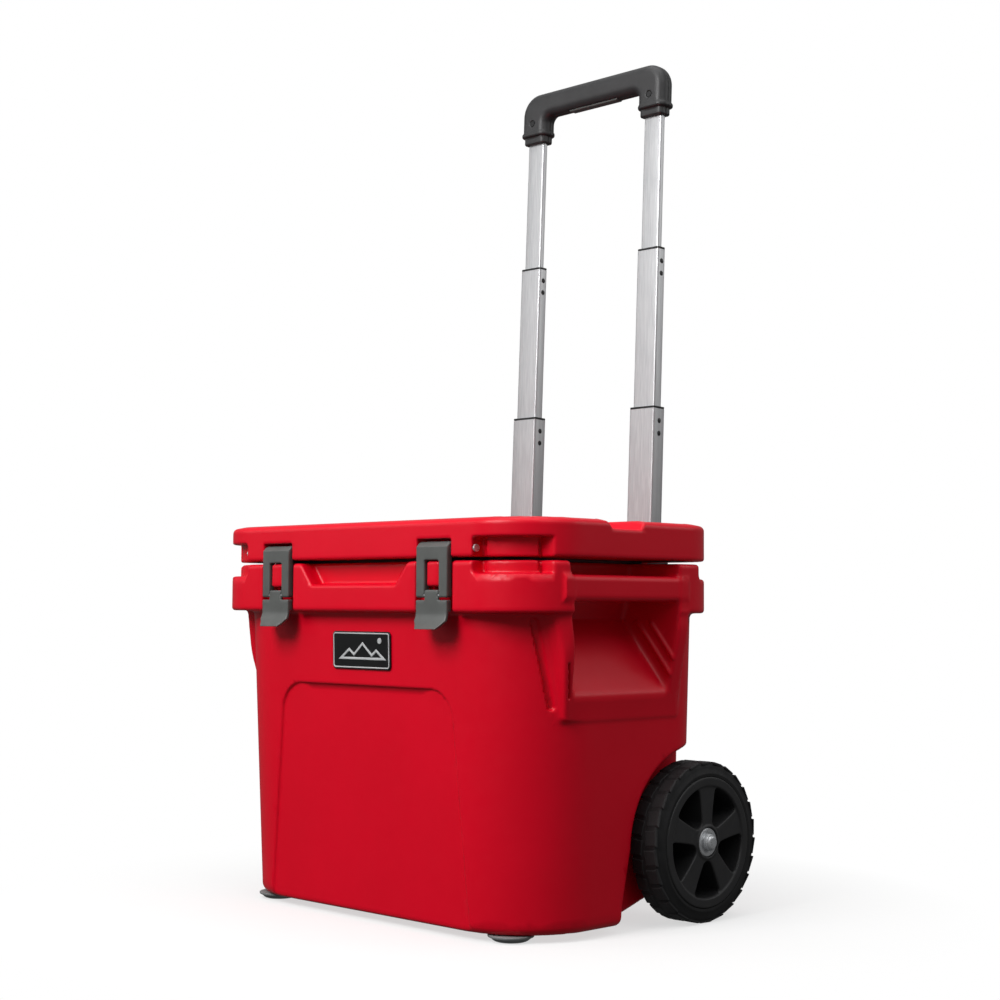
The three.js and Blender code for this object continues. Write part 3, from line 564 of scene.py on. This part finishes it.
def gripField(x, y, z):
    halfWide, halfDeep = gripLook["halfWidth"], gripLook["depth"] / 2
    bottom, top = gripLook["bottom"], gripLook["top"]
    hole = 84
    face = rect(x, z, -halfWide, halfWide, bottom - 90, top, gripLook["bend"])
    face = cut(face, rect(x, z, -hole, hole, bottom - 160, top - gripLook["bar"], 9), 4)
    solid = common(common(face, span(y, -halfDeep, halfDeep), gripLook["round"]), bottom + 13 - z, 1)
    legs = np.abs(x)
    lip = rect(legs, y, hole - 1, halfWide + gripLook["lip"], -halfDeep - 1, halfDeep + 1, 11)
    lip = common(lip, span(z, bottom + 10, bottom + 16.5), 2.6)
    inset = gripLook["sleeve"]
    sleeve = rect(legs, y, hole + inset, halfWide - inset, -halfDeep + inset, halfDeep - inset, 6)
    sleeve = common(sleeve, span(z, bottom, bottom + 14), 2)
    solid = join(join(solid, lip, 1.5), sleeve, 1)
    socket = np.maximum(rect(legs, y, tubeX - 14.95, tubeX + 14.95, -4.5, 4.5), z - 1030.3)
    solid = cut(solid, socket)
    screwHead = np.maximum(disc(legs, z, tubeX, 1042, 4.4), y + halfDeep - 2.6)
    solid = cut(solid, np.minimum(screwHead, disc(legs, z, tubeX, 1042, 2.3)), 0.6)
    slot = np.maximum(rect(x, y, -44.5, 44.5, -6.5, 6.5, 1), z - 1061)
    solid = cut(solid, np.maximum(slot, 1035 - z), 0.8)
    return cut(solid, np.maximum(disc(legs, y, 34, 0, 5.4), span(z, 1050, 1067)))


def makeGrip():
    cell = gripLook["cellMm"] * 1
    low, high = (0, -17, 1009), (133, 17, 1089)
    x, y, z = gridOf(low, high, cell)
    whole = gripField(x, y, z)
    for part, side in (("front", y + 0.15), ("rear", 0.15 - y)):
        half = common(whole, side, 0.5)
        mesh = fieldMesh(f"grip_{part}", half, low, cell, leanPlace, mirrored=True, flatness=0.01)
        piece = newPiece(f"grip_{part}", mesh, gripNylon)
        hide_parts(f"grip_{part}_shell")
        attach(piece, "handle_upper")
    low, high = (0, -8, 1041), (48, 8, 1059)
    x, y, z = gridOf(low, high, 0.6)
    button = common(rect(x, z, -44, 44, 1048.4, 1056, 3), span(y, -6, 6), 1.6)
    mesh = fieldMesh("releaseButton", button, low, 0.6, leanPlace, mirrored=True, flatness=0.01)
    piece = newPiece("releaseButton", mesh, latchNylon)
    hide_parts("release_trigger")
    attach(piece, "release_trigger")
    print("grip: two shells and a button")


def roundedLoop(width, deep, radius, steps=5):
    points = []
    for corner, (sx, sy) in enumerate(((1, -1), (1, 1), (-1, 1), (-1, -1))):
        for i in range(steps + 1):
            angle = math.pi / 2 * (corner - 1 + i / steps)
            points.append((sx * (width / 2 - radius) + radius * math.cos(angle),
                           sy * (deep / 2 - radius) + radius * math.sin(angle)))
    return points


def tubeMesh(name, x, width, deep, z0, z1, wall=1.5, radius=2.4, soft=0.35):
    mesh = bpy.data.meshes.new(name)
    build = bmesh.new()
    rings = [(-wall, z0 + soft), (-wall + soft, z0), (-soft, z0), (0, z0 + soft),
             (0, z1 - soft), (-soft, z1), (-wall + soft, z1), (-wall, z1 - soft)]
    loops = []
    for offset, z in rings:
        loop = roundedLoop(width + 2 * offset, deep + 2 * offset, max(radius + offset, 0.6))
        loops.append([build.verts.new(leanPlace @ Vector((x + u, v, z))) for u, v in loop])
    for first, second in zip(loops, loops[1:] + loops[:1]):
        for i in range(len(first)):
            j = (i + 1) % len(first)
            build.faces.new((first[i], first[j], second[j], second[i]))
    bmesh.ops.recalc_face_normals(build, faces=build.faces)
    for vert in build.verts:
        vert.co = (vert.co + shift) / 1000
    build.to_mesh(mesh)
    build.free()
    mesh.shade_smooth()
    mesh.set_sharp_from_angle(angle=math.radians(35))
    return mesh


def makeTubes():
    bodies = {"outer": "root", "lower": "handle_lower", "middle": "handle_middle", "upper": "handle_upper"}
    for stage, (width, deep, z0, z1) in tubeSizes.items():
        for side, tag in sides:
            mesh = tubeMesh(f"{stage}Tube_{tag}", side * tubeX, width, deep, z0, z1)
            tube = newPiece(f"{stage}Tube_{tag}", mesh, tubeAluminium)
            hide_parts(f"{stage}_tube_{tag}")
            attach(tube, bodies[stage])
    print("handle tubes: four stages a side")


def nodeGroup(name, inputs):
    tree = bpy.data.node_groups.new(name, "GeometryNodeTree")
    tree.interface.new_socket("Geometry", in_out="OUTPUT", socket_type="NodeSocketGeometry")
    for label, kind, value in inputs:
        socket = tree.interface.new_socket(label, in_out="INPUT", socket_type=kind)
        if value is not None:
            socket.default_value = value
    return tree, addNode(tree, "NodeGroupInput").outputs


def bakeGroup(name, tree, values, material, place=None):
    holder = bpy.data.objects.new("holder", bpy.data.meshes.new("holder"))
    bpy.context.scene.collection.objects.link(holder)
    modifier = holder.modifiers.new("nodes", "NODES")
    modifier.node_group = tree
    for item in tree.interface.items_tree:
        if item.item_type == "SOCKET" and item.in_out == "INPUT" and item.name in values:
            modifier[item.identifier] = values[item.name]
    bpy.context.view_layer.update()
    mesh = bpy.data.meshes.new_from_object(holder.evaluated_get(bpy.context.evaluated_depsgraph_get()))
    bpy.data.objects.remove(holder)
    mesh.name = name
    if place is not None:
        mesh.transform(place)
    return newPiece(name, mesh, material)


def finishGroup(tree, geometry, material):
    real = addNode(tree, "GeometryNodeRealizeInstances", None, {"Geometry": geometry})
    dressed = addNode(tree, "GeometryNodeSetMaterial", {"Material": material}, {"Geometry": real.outputs[0]})
    addNode(tree, "NodeGroupOutput", None, {0: dressed.outputs[0]})


def treadTree():
    # Blocks round a ring about X: every other one is turned half a pitch on the second row.
    tree, read = nodeGroup("treadBlocks", [
        ("Count", "NodeSocketInt", 26), ("Radius", "NodeSocketFloat", 0.09),
        ("Row Offset", "NodeSocketFloat", 0.009), ("Length", "NodeSocketFloat", 0.016),
        ("Width", "NodeSocketFloat", 0.016), ("Height", "NodeSocketFloat", 0.004),
        ("Slant", "NodeSocketFloat", 0.2)])
    size = addNode(tree, "ShaderNodeCombineXYZ", None,
                   {"X": read["Width"], "Y": read["Length"], "Z": read["Height"]}).outputs[0]
    block = addNode(tree, "GeometryNodeMeshCube", None, {"Size": size}).outputs["Mesh"]
    top = addNode(tree, "GeometryNodeInputNormal").outputs[0]
    upward = addNode(tree, "ShaderNodeSeparateXYZ", None, {0: top}).outputs["Z"]
    isTop = addNode(tree, "FunctionNodeCompare", {"data_type": "FLOAT", "operation": "GREATER_THAN", 1: 0.5},
                    {0: upward}).outputs[0]
    raised = addNode(tree, "GeometryNodeExtrudeMesh", {"Offset Scale": 0.0012},
                     {"Mesh": block, "Selection": isTop})
    shrunk = addNode(tree, "GeometryNodeScaleElements", {"Scale": 0.80},
                     {"Geometry": raised.outputs["Mesh"], "Selection": raised.outputs["Top"]}).outputs[0]
    rows = []
    for sign, phase in ((1, 0.0), (-1, 0.5)):
        line = addNode(tree, "GeometryNodeMeshLine", {"Offset": (0, 0, 0)}, {"Count": read["Count"]}).outputs[0]
        index = addNode(tree, "GeometryNodeInputIndex").outputs[0]
        turnShare = addNode(tree, "ShaderNodeMath", {"operation": "ADD", 1: phase}, {0: index}).outputs[0]
        turn = addNode(tree, "ShaderNodeMath", {"operation": "DIVIDE"},
                       {0: turnShare, 1: read["Count"]}).outputs[0]
        angle = addNode(tree, "ShaderNodeMath", {"operation": "MULTIPLY", 1: 2 * math.pi}, {0: turn}).outputs[0]
        sine = addNode(tree, "ShaderNodeMath", {"operation": "SINE"}, {0: angle}).outputs[0]
        cosine = addNode(tree, "ShaderNodeMath", {"operation": "COSINE"}, {0: angle}).outputs[0]
        minus = addNode(tree, "ShaderNodeMath", {"operation": "MULTIPLY", 1: -1.0}, {0: sine}).outputs[0]
        y = addNode(tree, "ShaderNodeMath", {"operation": "MULTIPLY"}, {0: minus, 1: read["Radius"]}).outputs[0]
        z = addNode(tree, "ShaderNodeMath", {"operation": "MULTIPLY"}, {0: cosine, 1: read["Radius"]}).outputs[0]
        across = addNode(tree, "ShaderNodeMath", {"operation": "MULTIPLY", 1: float(sign)},
                         {0: read["Row Offset"]}).outputs[0]
        place = addNode(tree, "ShaderNodeCombineXYZ", None, {"X": across, "Y": y, "Z": z}).outputs[0]
        ring = addNode(tree, "GeometryNodeSetPosition", None, {"Geometry": line, "Position": place}).outputs[0]
        slant = addNode(tree, "ShaderNodeMath", {"operation": "MULTIPLY", 1: float(sign)},
                        {0: read["Slant"]}).outputs[0]
        yaw = addNode(tree, "ShaderNodeCombineXYZ", None, {"Z": slant}).outputs[0]
        roll = addNode(tree, "ShaderNodeCombineXYZ", None, {"X": angle}).outputs[0]
        first = addNode(tree, "FunctionNodeEulerToRotation", None, {0: yaw}).outputs[0]
        second = addNode(tree, "FunctionNodeEulerToRotation", None, {0: roll}).outputs[0]
        both = addNode(tree, "FunctionNodeRotateRotation", {"rotation_space": "GLOBAL"},
                       {"Rotation": first, "Rotate By": second}).outputs[0]
        rows.append(addNode(tree, "GeometryNodeInstanceOnPoints", None,
                            {"Points": ring, "Instance": shrunk, "Rotation": both}).outputs[0])
    joined = addNode(tree, "GeometryNodeJoinGeometry")
    for row in rows:
        tree.links.new(row, joined.inputs[0])
    finishGroup(tree, joined.outputs[0], tyreRubber)
    return tree


def buttonTree():
    # A column of domed snap buttons, from the top one down.
    tree, read = nodeGroup("snapButtons", [
        ("Count", "NodeSocketInt", 2), ("Spacing", "NodeSocketFloat", 0.014),
        ("Radius", "NodeSocketFloat", 0.0024), ("Height", "NodeSocketFloat", 0.0016)])
    down = addNode(tree, "ShaderNodeMath", {"operation": "MULTIPLY", 1: -1.0}, {0: read["Spacing"]}).outputs[0]
    offset = addNode(tree, "ShaderNodeCombineXYZ", None, {"Z": down}).outputs[0]
    line = addNode(tree, "GeometryNodeMeshLine", None, {"Count": read["Count"], "Offset": offset}).outputs[0]
    dome = addNode(tree, "GeometryNodeMeshUVSphere", {"Segments": 16, "Rings": 8},
                   {"Radius": read["Radius"]}).outputs[0]
    share = addNode(tree, "ShaderNodeMath", {"operation": "DIVIDE"},
                    {0: read["Height"], 1: read["Radius"]}).outputs[0]
    squeeze = addNode(tree, "ShaderNodeCombineXYZ", {"Y": 1.0, "Z": 1.0}, {"X": share}).outputs[0]
    flat = addNode(tree, "GeometryNodeTransform", None, {"Geometry": dome, "Scale": squeeze}).outputs[0]
    studs = addNode(tree, "GeometryNodeInstanceOnPoints", None, {"Points": line, "Instance": flat}).outputs[0]
    finishGroup(tree, studs, darkNylon)
    return tree


wheelLook = {"cellMm": 0.9, "inner": 244.0, "face": 286.0, "web": 251.0, "rimRadius": 76.0, "tyreSeat": 71.2,
             "baseRadius": 92.9, "spokes": 5, "spokeHub": 9.2, "spokeRim": 15.5, "windowIn": 21.5,
             "windowOut": 64.5, "middle": 266.0,
             "tread": {"Count": 26, "Row Offset": 0.0098, "Length": 0.0190, "Width": 0.0176, "Height": 0.0018},
             "treadSunk": 1.7, "treadSlant": 0.10}


def rimField(x, y, z):
    look = wheelLook
    r = np.hypot(y, z)
    ring = common(span(r, 65, look["rimRadius"]), span(x, look["inner"] + 2, 287.6), 1.6)
    ring = cut(ring, np.maximum(span(r, look["tyreSeat"], 90), span(x, 200, 281)), 0.6)
    plate = common(r - 68, span(x, look["web"] - 4, look["face"]))
    hub = common(r - 20 - (286 - x) * 0.02, span(x, look["inner"], 287.4), 1.5)
    solid = join(join(ring, plate, 1.5), hub, 1.5)
    step = 2 * math.pi / look["spokes"]
    turn = np.arctan2(y, z)
    turn = np.abs(turn - np.round(turn / step) * step)
    along, aside = r * np.cos(turn), r * np.sin(turn)
    share = np.clip((along - 22) / 42, 0, 1)
    spokeHalf = look["spokeHub"] + (look["spokeRim"] - look["spokeHub"]) * share ** 1.4
    window = common(common(r - look["windowOut"], look["windowIn"] - r, 4), spokeHalf - aside, 5)
    solid = cut(solid, common(window, look["web"] - x), 1.6)
    solid = cut(solid, np.maximum(r - 9.5, 0 * x - 1))
    return cut(solid, np.maximum(r - 17.2, 284 - x), 0.4)


def lathe(name, profile, material, centre, segments=96, axis="X"):
    # Turns (radius, height) points round an axis through the centre. The profile closes on itself
    # or starts and ends on the axis.
    mesh = bpy.data.meshes.new(name)
    build = bmesh.new()
    columns = []
    for i in range(segments):
        angle = 2 * math.pi * i / segments
        column = []
        for radius, height in profile:
            a, b = radius * math.cos(angle), radius * math.sin(angle)
            spot = (height, a, b) if axis == "X" else (a, b, height) if axis == "Z" else (b, height, a)
            column.append(build.verts.new((Vector(spot) + Vector(centre) + shift) / 1000))
        columns.append(column)
    closed = profile[0][0] > 1e-6
    for first, second in zip(columns, columns[1:] + columns[:1]):
        for i in range(len(profile) - (0 if closed else 1)):
            j = (i + 1) % len(profile)
            build.faces.new((first[i], first[j], second[j], second[i]))
    bmesh.ops.remove_doubles(build, verts=build.verts, dist=1e-6)
    bmesh.ops.recalc_face_normals(build, faces=build.faces)
    build.to_mesh(mesh)
    build.free()
    mesh.shade_smooth()
    mesh.set_sharp_from_angle(angle=math.radians(32))
    return newPiece(name, mesh, material)


def mirrorX(profile, side):
    return [(radius, side * height) for radius, height in profile]


def arc(cx, cy, radius, start, end, steps=5):
    angles = [math.radians(start + (end - start) * i / steps) for i in range(steps + 1)]
    return [(cx + radius * math.cos(a), cy + radius * math.sin(a)) for a in angles]


def makeWheels():
    look = wheelLook
    cell = look["cellMm"] * 1
    low, high = (240, -78, -78), (291, 78, 78)
    x, y, z = gridOf(low, high, cell)
    values = rimField(x, y, z)
    base = look["baseRadius"]
    tyre = ([(71.6, 246), (71.6, 280.4), (76.5, 280.4), (76.5, 286.6)]
            + arc(79.5, 284.6, 2.4, 100, 60, 3) + [(84.5, 285.0), (86.2, 284.6)]
            + arc(base - 5, 279.5, 5, 60, 0, 5) + arc(base - 5, 252.5, 5, 0, -60, 5)
            + [(86.2, 247.4), (84.5, 246.6)] + arc(79.5, 247.4, 2.4, -60, -100, 3))
    washer = [(6.5, 284.4), (6.5, 286.2), (9.6, 286.2), (10.1, 285.7), (11.6, 285.7), (12.1, 286.3),
              (14.2, 286.6), (15.6, 286.5), (16.5, 285.8), (16.5, 284.4)]
    nut = ([(6.4, 286.9), (9.6, 286.9), (9.9, 287.3), (9.9, 290.8), (9.2, 291.5), (8.3, 291.6), (8.2, 292.4)]
           + arc(5.2, 291.5, 3.0, 18, 90, 4) + [(0, 294.5), (0, 292.7), (6.4, 292.6)])
    spacer = [(6.4, 228.3), (6.4, 243.6), (10.6, 243.6), (11, 243.2), (11, 228.7), (10.6, 228.3)]
    tread = treadTree()
    for side, tag in sides:
        body = f"wheel_{tag}"
        centre = (0, wheelY, wheelZ)
        place = Matrix.Translation(centre) @ Matrix.Rotation(math.pi if side < 0 else 0, 4, "Z")
        mesh = fieldMesh(f"wheelRim_{tag}", values, low, cell, place, flatness=0.01, limit=120000)
        rim = newPiece(f"wheelRim_{tag}", mesh, wheelNylon)
        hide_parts(f"wheel_rim_{tag}")
        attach(rim, body)
        ring = lathe(f"wheelTyre_{tag}", mirrorX(tyre, side), tyreRubber, centre, 120)
        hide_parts(f"wheel_tyre_{tag}")
        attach(ring, body)
        spot = Matrix.Translation(((look["middle"] * side) / 1000, (wheelY + frontY) / 1000, wheelZ / 1000))
        sizes = {**look["tread"], "Radius": (base - look["treadSunk"]) / 1000,
                 "Slant": look["treadSlant"] * side}
        blocks = bakeGroup(f"wheelTread_{tag}", tread, sizes, tyreRubber, spot)
        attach(blocks, body)
        for piece, node, profile in (("axleWasher", "axle_washer", washer), ("axleNut", "axle_nut", nut),
                                     ("axleSpacer", "axle_spacer", spacer)):
            part = lathe(f"{piece}_{tag}", mirrorX(profile, side), steel, centre, 64)
            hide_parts(f"{node}_{tag}")
            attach(part, "root")
    print("wheels: rims, tyres, treads and hubs")


badgeLook = {"halfWide": 51.5, "halfHigh": 22.3, "corner": 5.0, "rim": 1.7, "z": 315.5, "cellMm": 0.5,
             "sun": (33.0, 11.5, 3.6), "peaks": ((-21, 14, 20), (3, 21, 25), (27, 13, 18)), "peakFoot": -11.0,
             "line": 3.0}


def makeBadge():
    look = badgeLook
    wallY = wallInset + (bandBottom - look["z"]) * draft
    place = Matrix.Translation((0, wallY, look["z"])) @ Matrix.Rotation(math.atan(draft), 4, "X")
    low, high = (-54, -4, -25), (54, 2, 25)
    x, y, z = gridOf(low, high, look["cellMm"])
    wide, tall = look["halfWide"], look["halfHigh"]
    plate = common(rect(x, z, -wide, wide, -tall, tall, look["corner"]), span(y, -2.2, -0.3), 0.6)
    inner = rect(x, z, -wide + 2.4, wide - 2.4, -tall + 2.4, tall - 2.4, look["corner"] - 2)
    border = np.abs(inner) - look["rim"] / 2
    foot = look["peakFoot"]
    peaks = [outline(x, z, [(middle - half, foot), (middle + half, foot), (middle, foot + height)])
             for middle, height, half in look["peaks"]]
    ridge = np.minimum(np.minimum(peaks[0], peaks[1]), peaks[2])
    ridge = np.maximum(ridge, -ridge - look["line"])
    face = np.minimum(np.minimum(border, ridge), disc(x, z, *look["sun"]))
    relief = common(face, span(y, -2.75, -1.8), 0.25)
    for name, values, material in (("badgePlate", plate, badgeAbs), ("badgeRelief", relief, paleAbs)):
        mesh = fieldMesh(name, values, low, look["cellMm"], place, flatness=0.01)
        piece = newPiece(name, mesh, material)
        if name == "badgePlate":
            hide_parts("badge_plate")
        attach(piece, "root")
    print("badge made")


footLook = {"places": {"front": (204, 62), "rear": (196, 168)},
            "profile": [(0, 0), (15, 0)] + arc(15, 9, 9, -90, -38, 4)
            + [(25.6, 5.2), (26, 6.2), (26, 7.2), (25.5, 7.7), (0, 7.7)]}


def makeFeet():
    look = footLook
    for end, (x, y) in look["places"].items():
        for side, tag in sides:
            foot = lathe(f"foot_{end}_{tag}_dome", look["profile"], footRubber, (side * x, y, 0), 64, "Z")
            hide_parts(f"foot_{end}_{tag}")
            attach(foot, "root")
    print("feet made")


bracketLook = {"cellMm": 1.0, "topHalf": 138.0, "topEnds": (390.0, 437.0), "footHalf": 134.0,
               "footEnds": (48.0, 59.5)}


def topBracketField(x, y, z):
    half = bracketLook["topHalf"]
    solid = common(rect(x, y, -half, half, -16.5, 19, 12), span(z, *bracketLook["topEnds"]), 3)
    tubeHole = rect(x, y, tubeX - 23.5, tubeX + 23.5, -13.65, 13.65, 2.6)
    solid = cut(solid, tubeHole + 0 * z)
    solid = cut(solid, rect(x, y, -70, 70, 4, 40, 6) + 0 * z, 2)
    return cut(solid, common(rect(x, z, -56, 56, 400, 427, 6), y - 1.5), 1.5)


def footBracketField(x, y, z):
    half = bracketLook["footHalf"]
    solid = common(rect(x, y, -half, half, -15, 17, 10), span(z, *bracketLook["footEnds"]), 2.5)
    solid = cut(solid, rect(x, y, -72, 72, 2, 40, 5) + 0 * z, 1.5)
    stud = common(rect(x, y, tubeX - 18, tubeX + 18, -8, 8, 3), span(z, 58, 72), 2)
    return join(solid, stud)


def makeBrackets():
    cell = bracketLook["cellMm"]
    for end, field, low, high in (("top", topBracketField, (0, -20, 386), (142, 24, 441)),
                                  ("foot", footBracketField, (0, -18, 45), (138, 20, 75))):
        name, node = f"{end}Bracket", f"handle_{end}_bracket"
        values = field(*gridOf(low, high, cell))
        mesh = fieldMesh(name, values, low, cell, leanPlace, mirrored=True, flatness=0.01)
        piece = newPiece(name, mesh, gripNylon)
        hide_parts(node)
        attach(piece, "root")
    print("brackets made")


snapLook = {"sunk": 0.5, "belowEnd": 16.0,
            "sizes": {"Count": 2, "Spacing": 0.0165, "Radius": 0.0039, "Height": 0.0011}}


def makeSnapButtons():
    tree = buttonTree()
    for stage in ("lower", "middle"):
        width, deep, z0, z1 = tubeSizes[stage]
        for side, tag in sides:
            for face in (-1, 1):
                x = side * tubeX + face * (width / 2 - snapLook["sunk"])
                spot = leanPlace @ Vector((x, 0, z1 - snapLook["belowEnd"]))
                place = Matrix.Translation((spot + shift) / 1000) @ Matrix.Rotation(-lean, 4, "X")
                name = f"{stage}Snaps_{tag}_{'in' if face * side < 0 else 'out'}"
                studs = bakeGroup(name, tree, snapLook["sizes"], darkNylon, place)
                studs.data.shade_smooth()
                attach(studs, f"handle_{stage}")
    print("snap buttons made")


def dressFrameNodes():
    dress = {"foam": foam, "fill_plug": shellPlastic, "gasket": sealRubber, "seal": sealRubber, "pin": steel,
             "screw": darkNylon, "spring": steel, "axle": steel, "collar": darkNylon, "drain_plug": latchNylon,
             "bush": paleAbs}
    for name, node in nodes.items():
        for word, material in dress.items():
            if word in name:
                node.data.materials.clear()
                node.data.materials.append(material)
                break
    print("frame nodes dressed")


makeBody()
makeLid()
makeLatches()
makeGrip()
makeTubes()
makeSnapButtons()
makeWheels()
makeBadge()
makeFeet()
makeBrackets()
dressFrameNodes()


view = {"x": 1598.8, "y": -1362.6, "z": 369.1, "yaw": 44.82, "pitch": 3.38, "roll": 0.3286, "lens": 64.27}


# Each light: azimuth and elevation in degrees, distance, width, height in metres, and watts.
studio = {"floorReach": 12.0, "shadowFades": (0.30, 0.62), "paperGlow": 0.62, "roomLow": 0.10, "roomHigh": 0.42,
          "lights": {"key": (0, 34, 2.6, 1.2, 1.3, 56), "tubeStrip": (-48, 20, 2.6, 1.0, 1.3, 5.5),
                     "sideFill": (80, 42, 2.6, 1.2, 1.2, 8), "rearStrip": (134, 24, 2.6, 1.2, 1.2, 6),
                     "overhead": (20, 84, 2.6, 2.2, 2.2, 24)}}


def makeCamera():
    yaw, pitch, roll = (math.radians(view[k]) for k in ("yaw", "pitch", "roll"))
    forward = Vector((-math.sin(yaw) * math.cos(pitch), math.cos(yaw) * math.cos(pitch), math.sin(pitch)))
    right = Vector((math.cos(yaw), math.sin(yaw), 0))
    up = right.cross(forward)
    turnedRight = right * math.cos(roll) + up * math.sin(roll)
    turnedUp = turnedRight.cross(forward)
    camera = bpy.data.objects.new("camera", bpy.data.cameras.new("camera"))
    camera.data.lens = view["lens"]
    camera.data.sensor_width = 36
    spot = (Vector((view["x"], view["y"], view["z"])) + shift) / 1000
    turn = Matrix((turnedRight, turnedUp, -forward)).transposed().to_4x4()
    camera.matrix_world = Matrix.Translation(spot) @ turn
    bpy.context.scene.collection.objects.link(camera)
    bpy.context.scene.camera = camera


def softbox(name, azimuth, elevation, distance, width, height, power, aim=(0, 0, 0.45)):
    light = bpy.data.lights.new(name, "AREA")
    light.shape = "RECTANGLE"
    light.size = width
    light.size_y = height
    light.energy = power
    lamp = bpy.data.objects.new(name, light)
    a, e = math.radians(azimuth), math.radians(elevation)
    away = Vector((math.sin(a) * math.cos(e), -math.cos(a) * math.cos(e), math.sin(e)))
    lamp.location = Vector(aim) + away * distance
    lamp.rotation_mode = "QUATERNION"
    lamp.rotation_quaternion = (-away).to_track_quat("-Z", "Y")
    bpy.context.scene.collection.objects.link(lamp)


def makeFloor():
    # White paper: it takes a soft shadow near the chest and fades to bare white further off.
    mesh = bpy.data.meshes.new("floor")
    reach = studio["floorReach"]
    corners = [(-reach, -reach, 0), (reach, -reach, 0), (reach, reach, 0), (-reach, reach, 0)]
    mesh.from_pydata(corners, [], [(0, 1, 2, 3)])
    material = bpy.data.materials.new("whitePaper")
    material.use_nodes = True
    tree = material.node_tree
    tree.nodes.clear()
    place = addNode(tree, "ShaderNodeTexCoord").outputs["Object"]
    fibre = addNode(tree, "ShaderNodeTexNoise", {"Scale": 40.0, "Detail": 3.0}, {"Vector": place}).outputs[0]
    tone = addNode(tree, "ShaderNodeMix",
                   {"data_type": "RGBA", 6: linear("#F6F6F5"), 7: linear("#F2F2F2")}, {0: fibre})
    matt = addNode(tree, "ShaderNodeBsdfDiffuse", None, {"Color": tone.outputs[2]})
    away = addNode(tree, "ShaderNodeVectorMath", {"operation": "LENGTH"}, {0: place}).outputs["Value"]
    near, far = studio["shadowFades"]
    fade = addNode(tree, "ShaderNodeMapRange",
                   {"From Min": near, "From Max": far, "To Min": studio["paperGlow"]},
                   {"Value": away}).outputs[0]
    bare = addNode(tree, "ShaderNodeEmission", {"Color": (1, 1, 1, 1), "Strength": 1.0})
    mixed = addNode(tree, "ShaderNodeMixShader", None, {0: fade, 1: matt.outputs[0], 2: bare.outputs[0]})
    addNode(tree, "ShaderNodeOutputMaterial", None, {"Surface": mixed.outputs[0]})
    floor = newPiece("floor", mesh, material)
    floor.visible_diffuse = False
    floor.visible_glossy = False


def makeWorld():
    # A dim room with a pale ceiling lights the chest, and white paper stands behind it.
    world = bpy.data.worlds.new("studio")
    bpy.context.scene.world = world
    world.use_nodes = True
    tree = world.node_tree
    tree.nodes.clear()
    direction = addNode(tree, "ShaderNodeTexCoord").outputs["Generated"]
    height = addNode(tree, "ShaderNodeSeparateXYZ", None, {"Vector": direction}).outputs["Z"]
    settings = {"From Min": -0.05, "From Max": 0.9, "To Min": studio["roomLow"], "To Max": studio["roomHigh"]}
    shade = addNode(tree, "ShaderNodeMapRange", settings, {"Value": height}).outputs[0]
    room = addNode(tree, "ShaderNodeBackground", None, {"Color": shade})
    paper = addNode(tree, "ShaderNodeBackground", {"Color": (1, 1, 1, 1), "Strength": 1.0})
    seen = addNode(tree, "ShaderNodeLightPath").outputs["Is Camera Ray"]
    mixed = addNode(tree, "ShaderNodeMixShader", None,
                    {0: seen, 1: room.outputs["Background"], 2: paper.outputs["Background"]})
    addNode(tree, "ShaderNodeOutputWorld", None, {"Surface": mixed.outputs["Shader"]})


def makeStudio():
    makeWorld()
    makeFloor()
    for name, settings in studio["lights"].items():
        softbox(name, *settings)
    scene = bpy.context.scene
    scene.view_settings.view_transform = "Standard"
    scene.view_settings.look = "None"


makeCamera()
makeStudio()
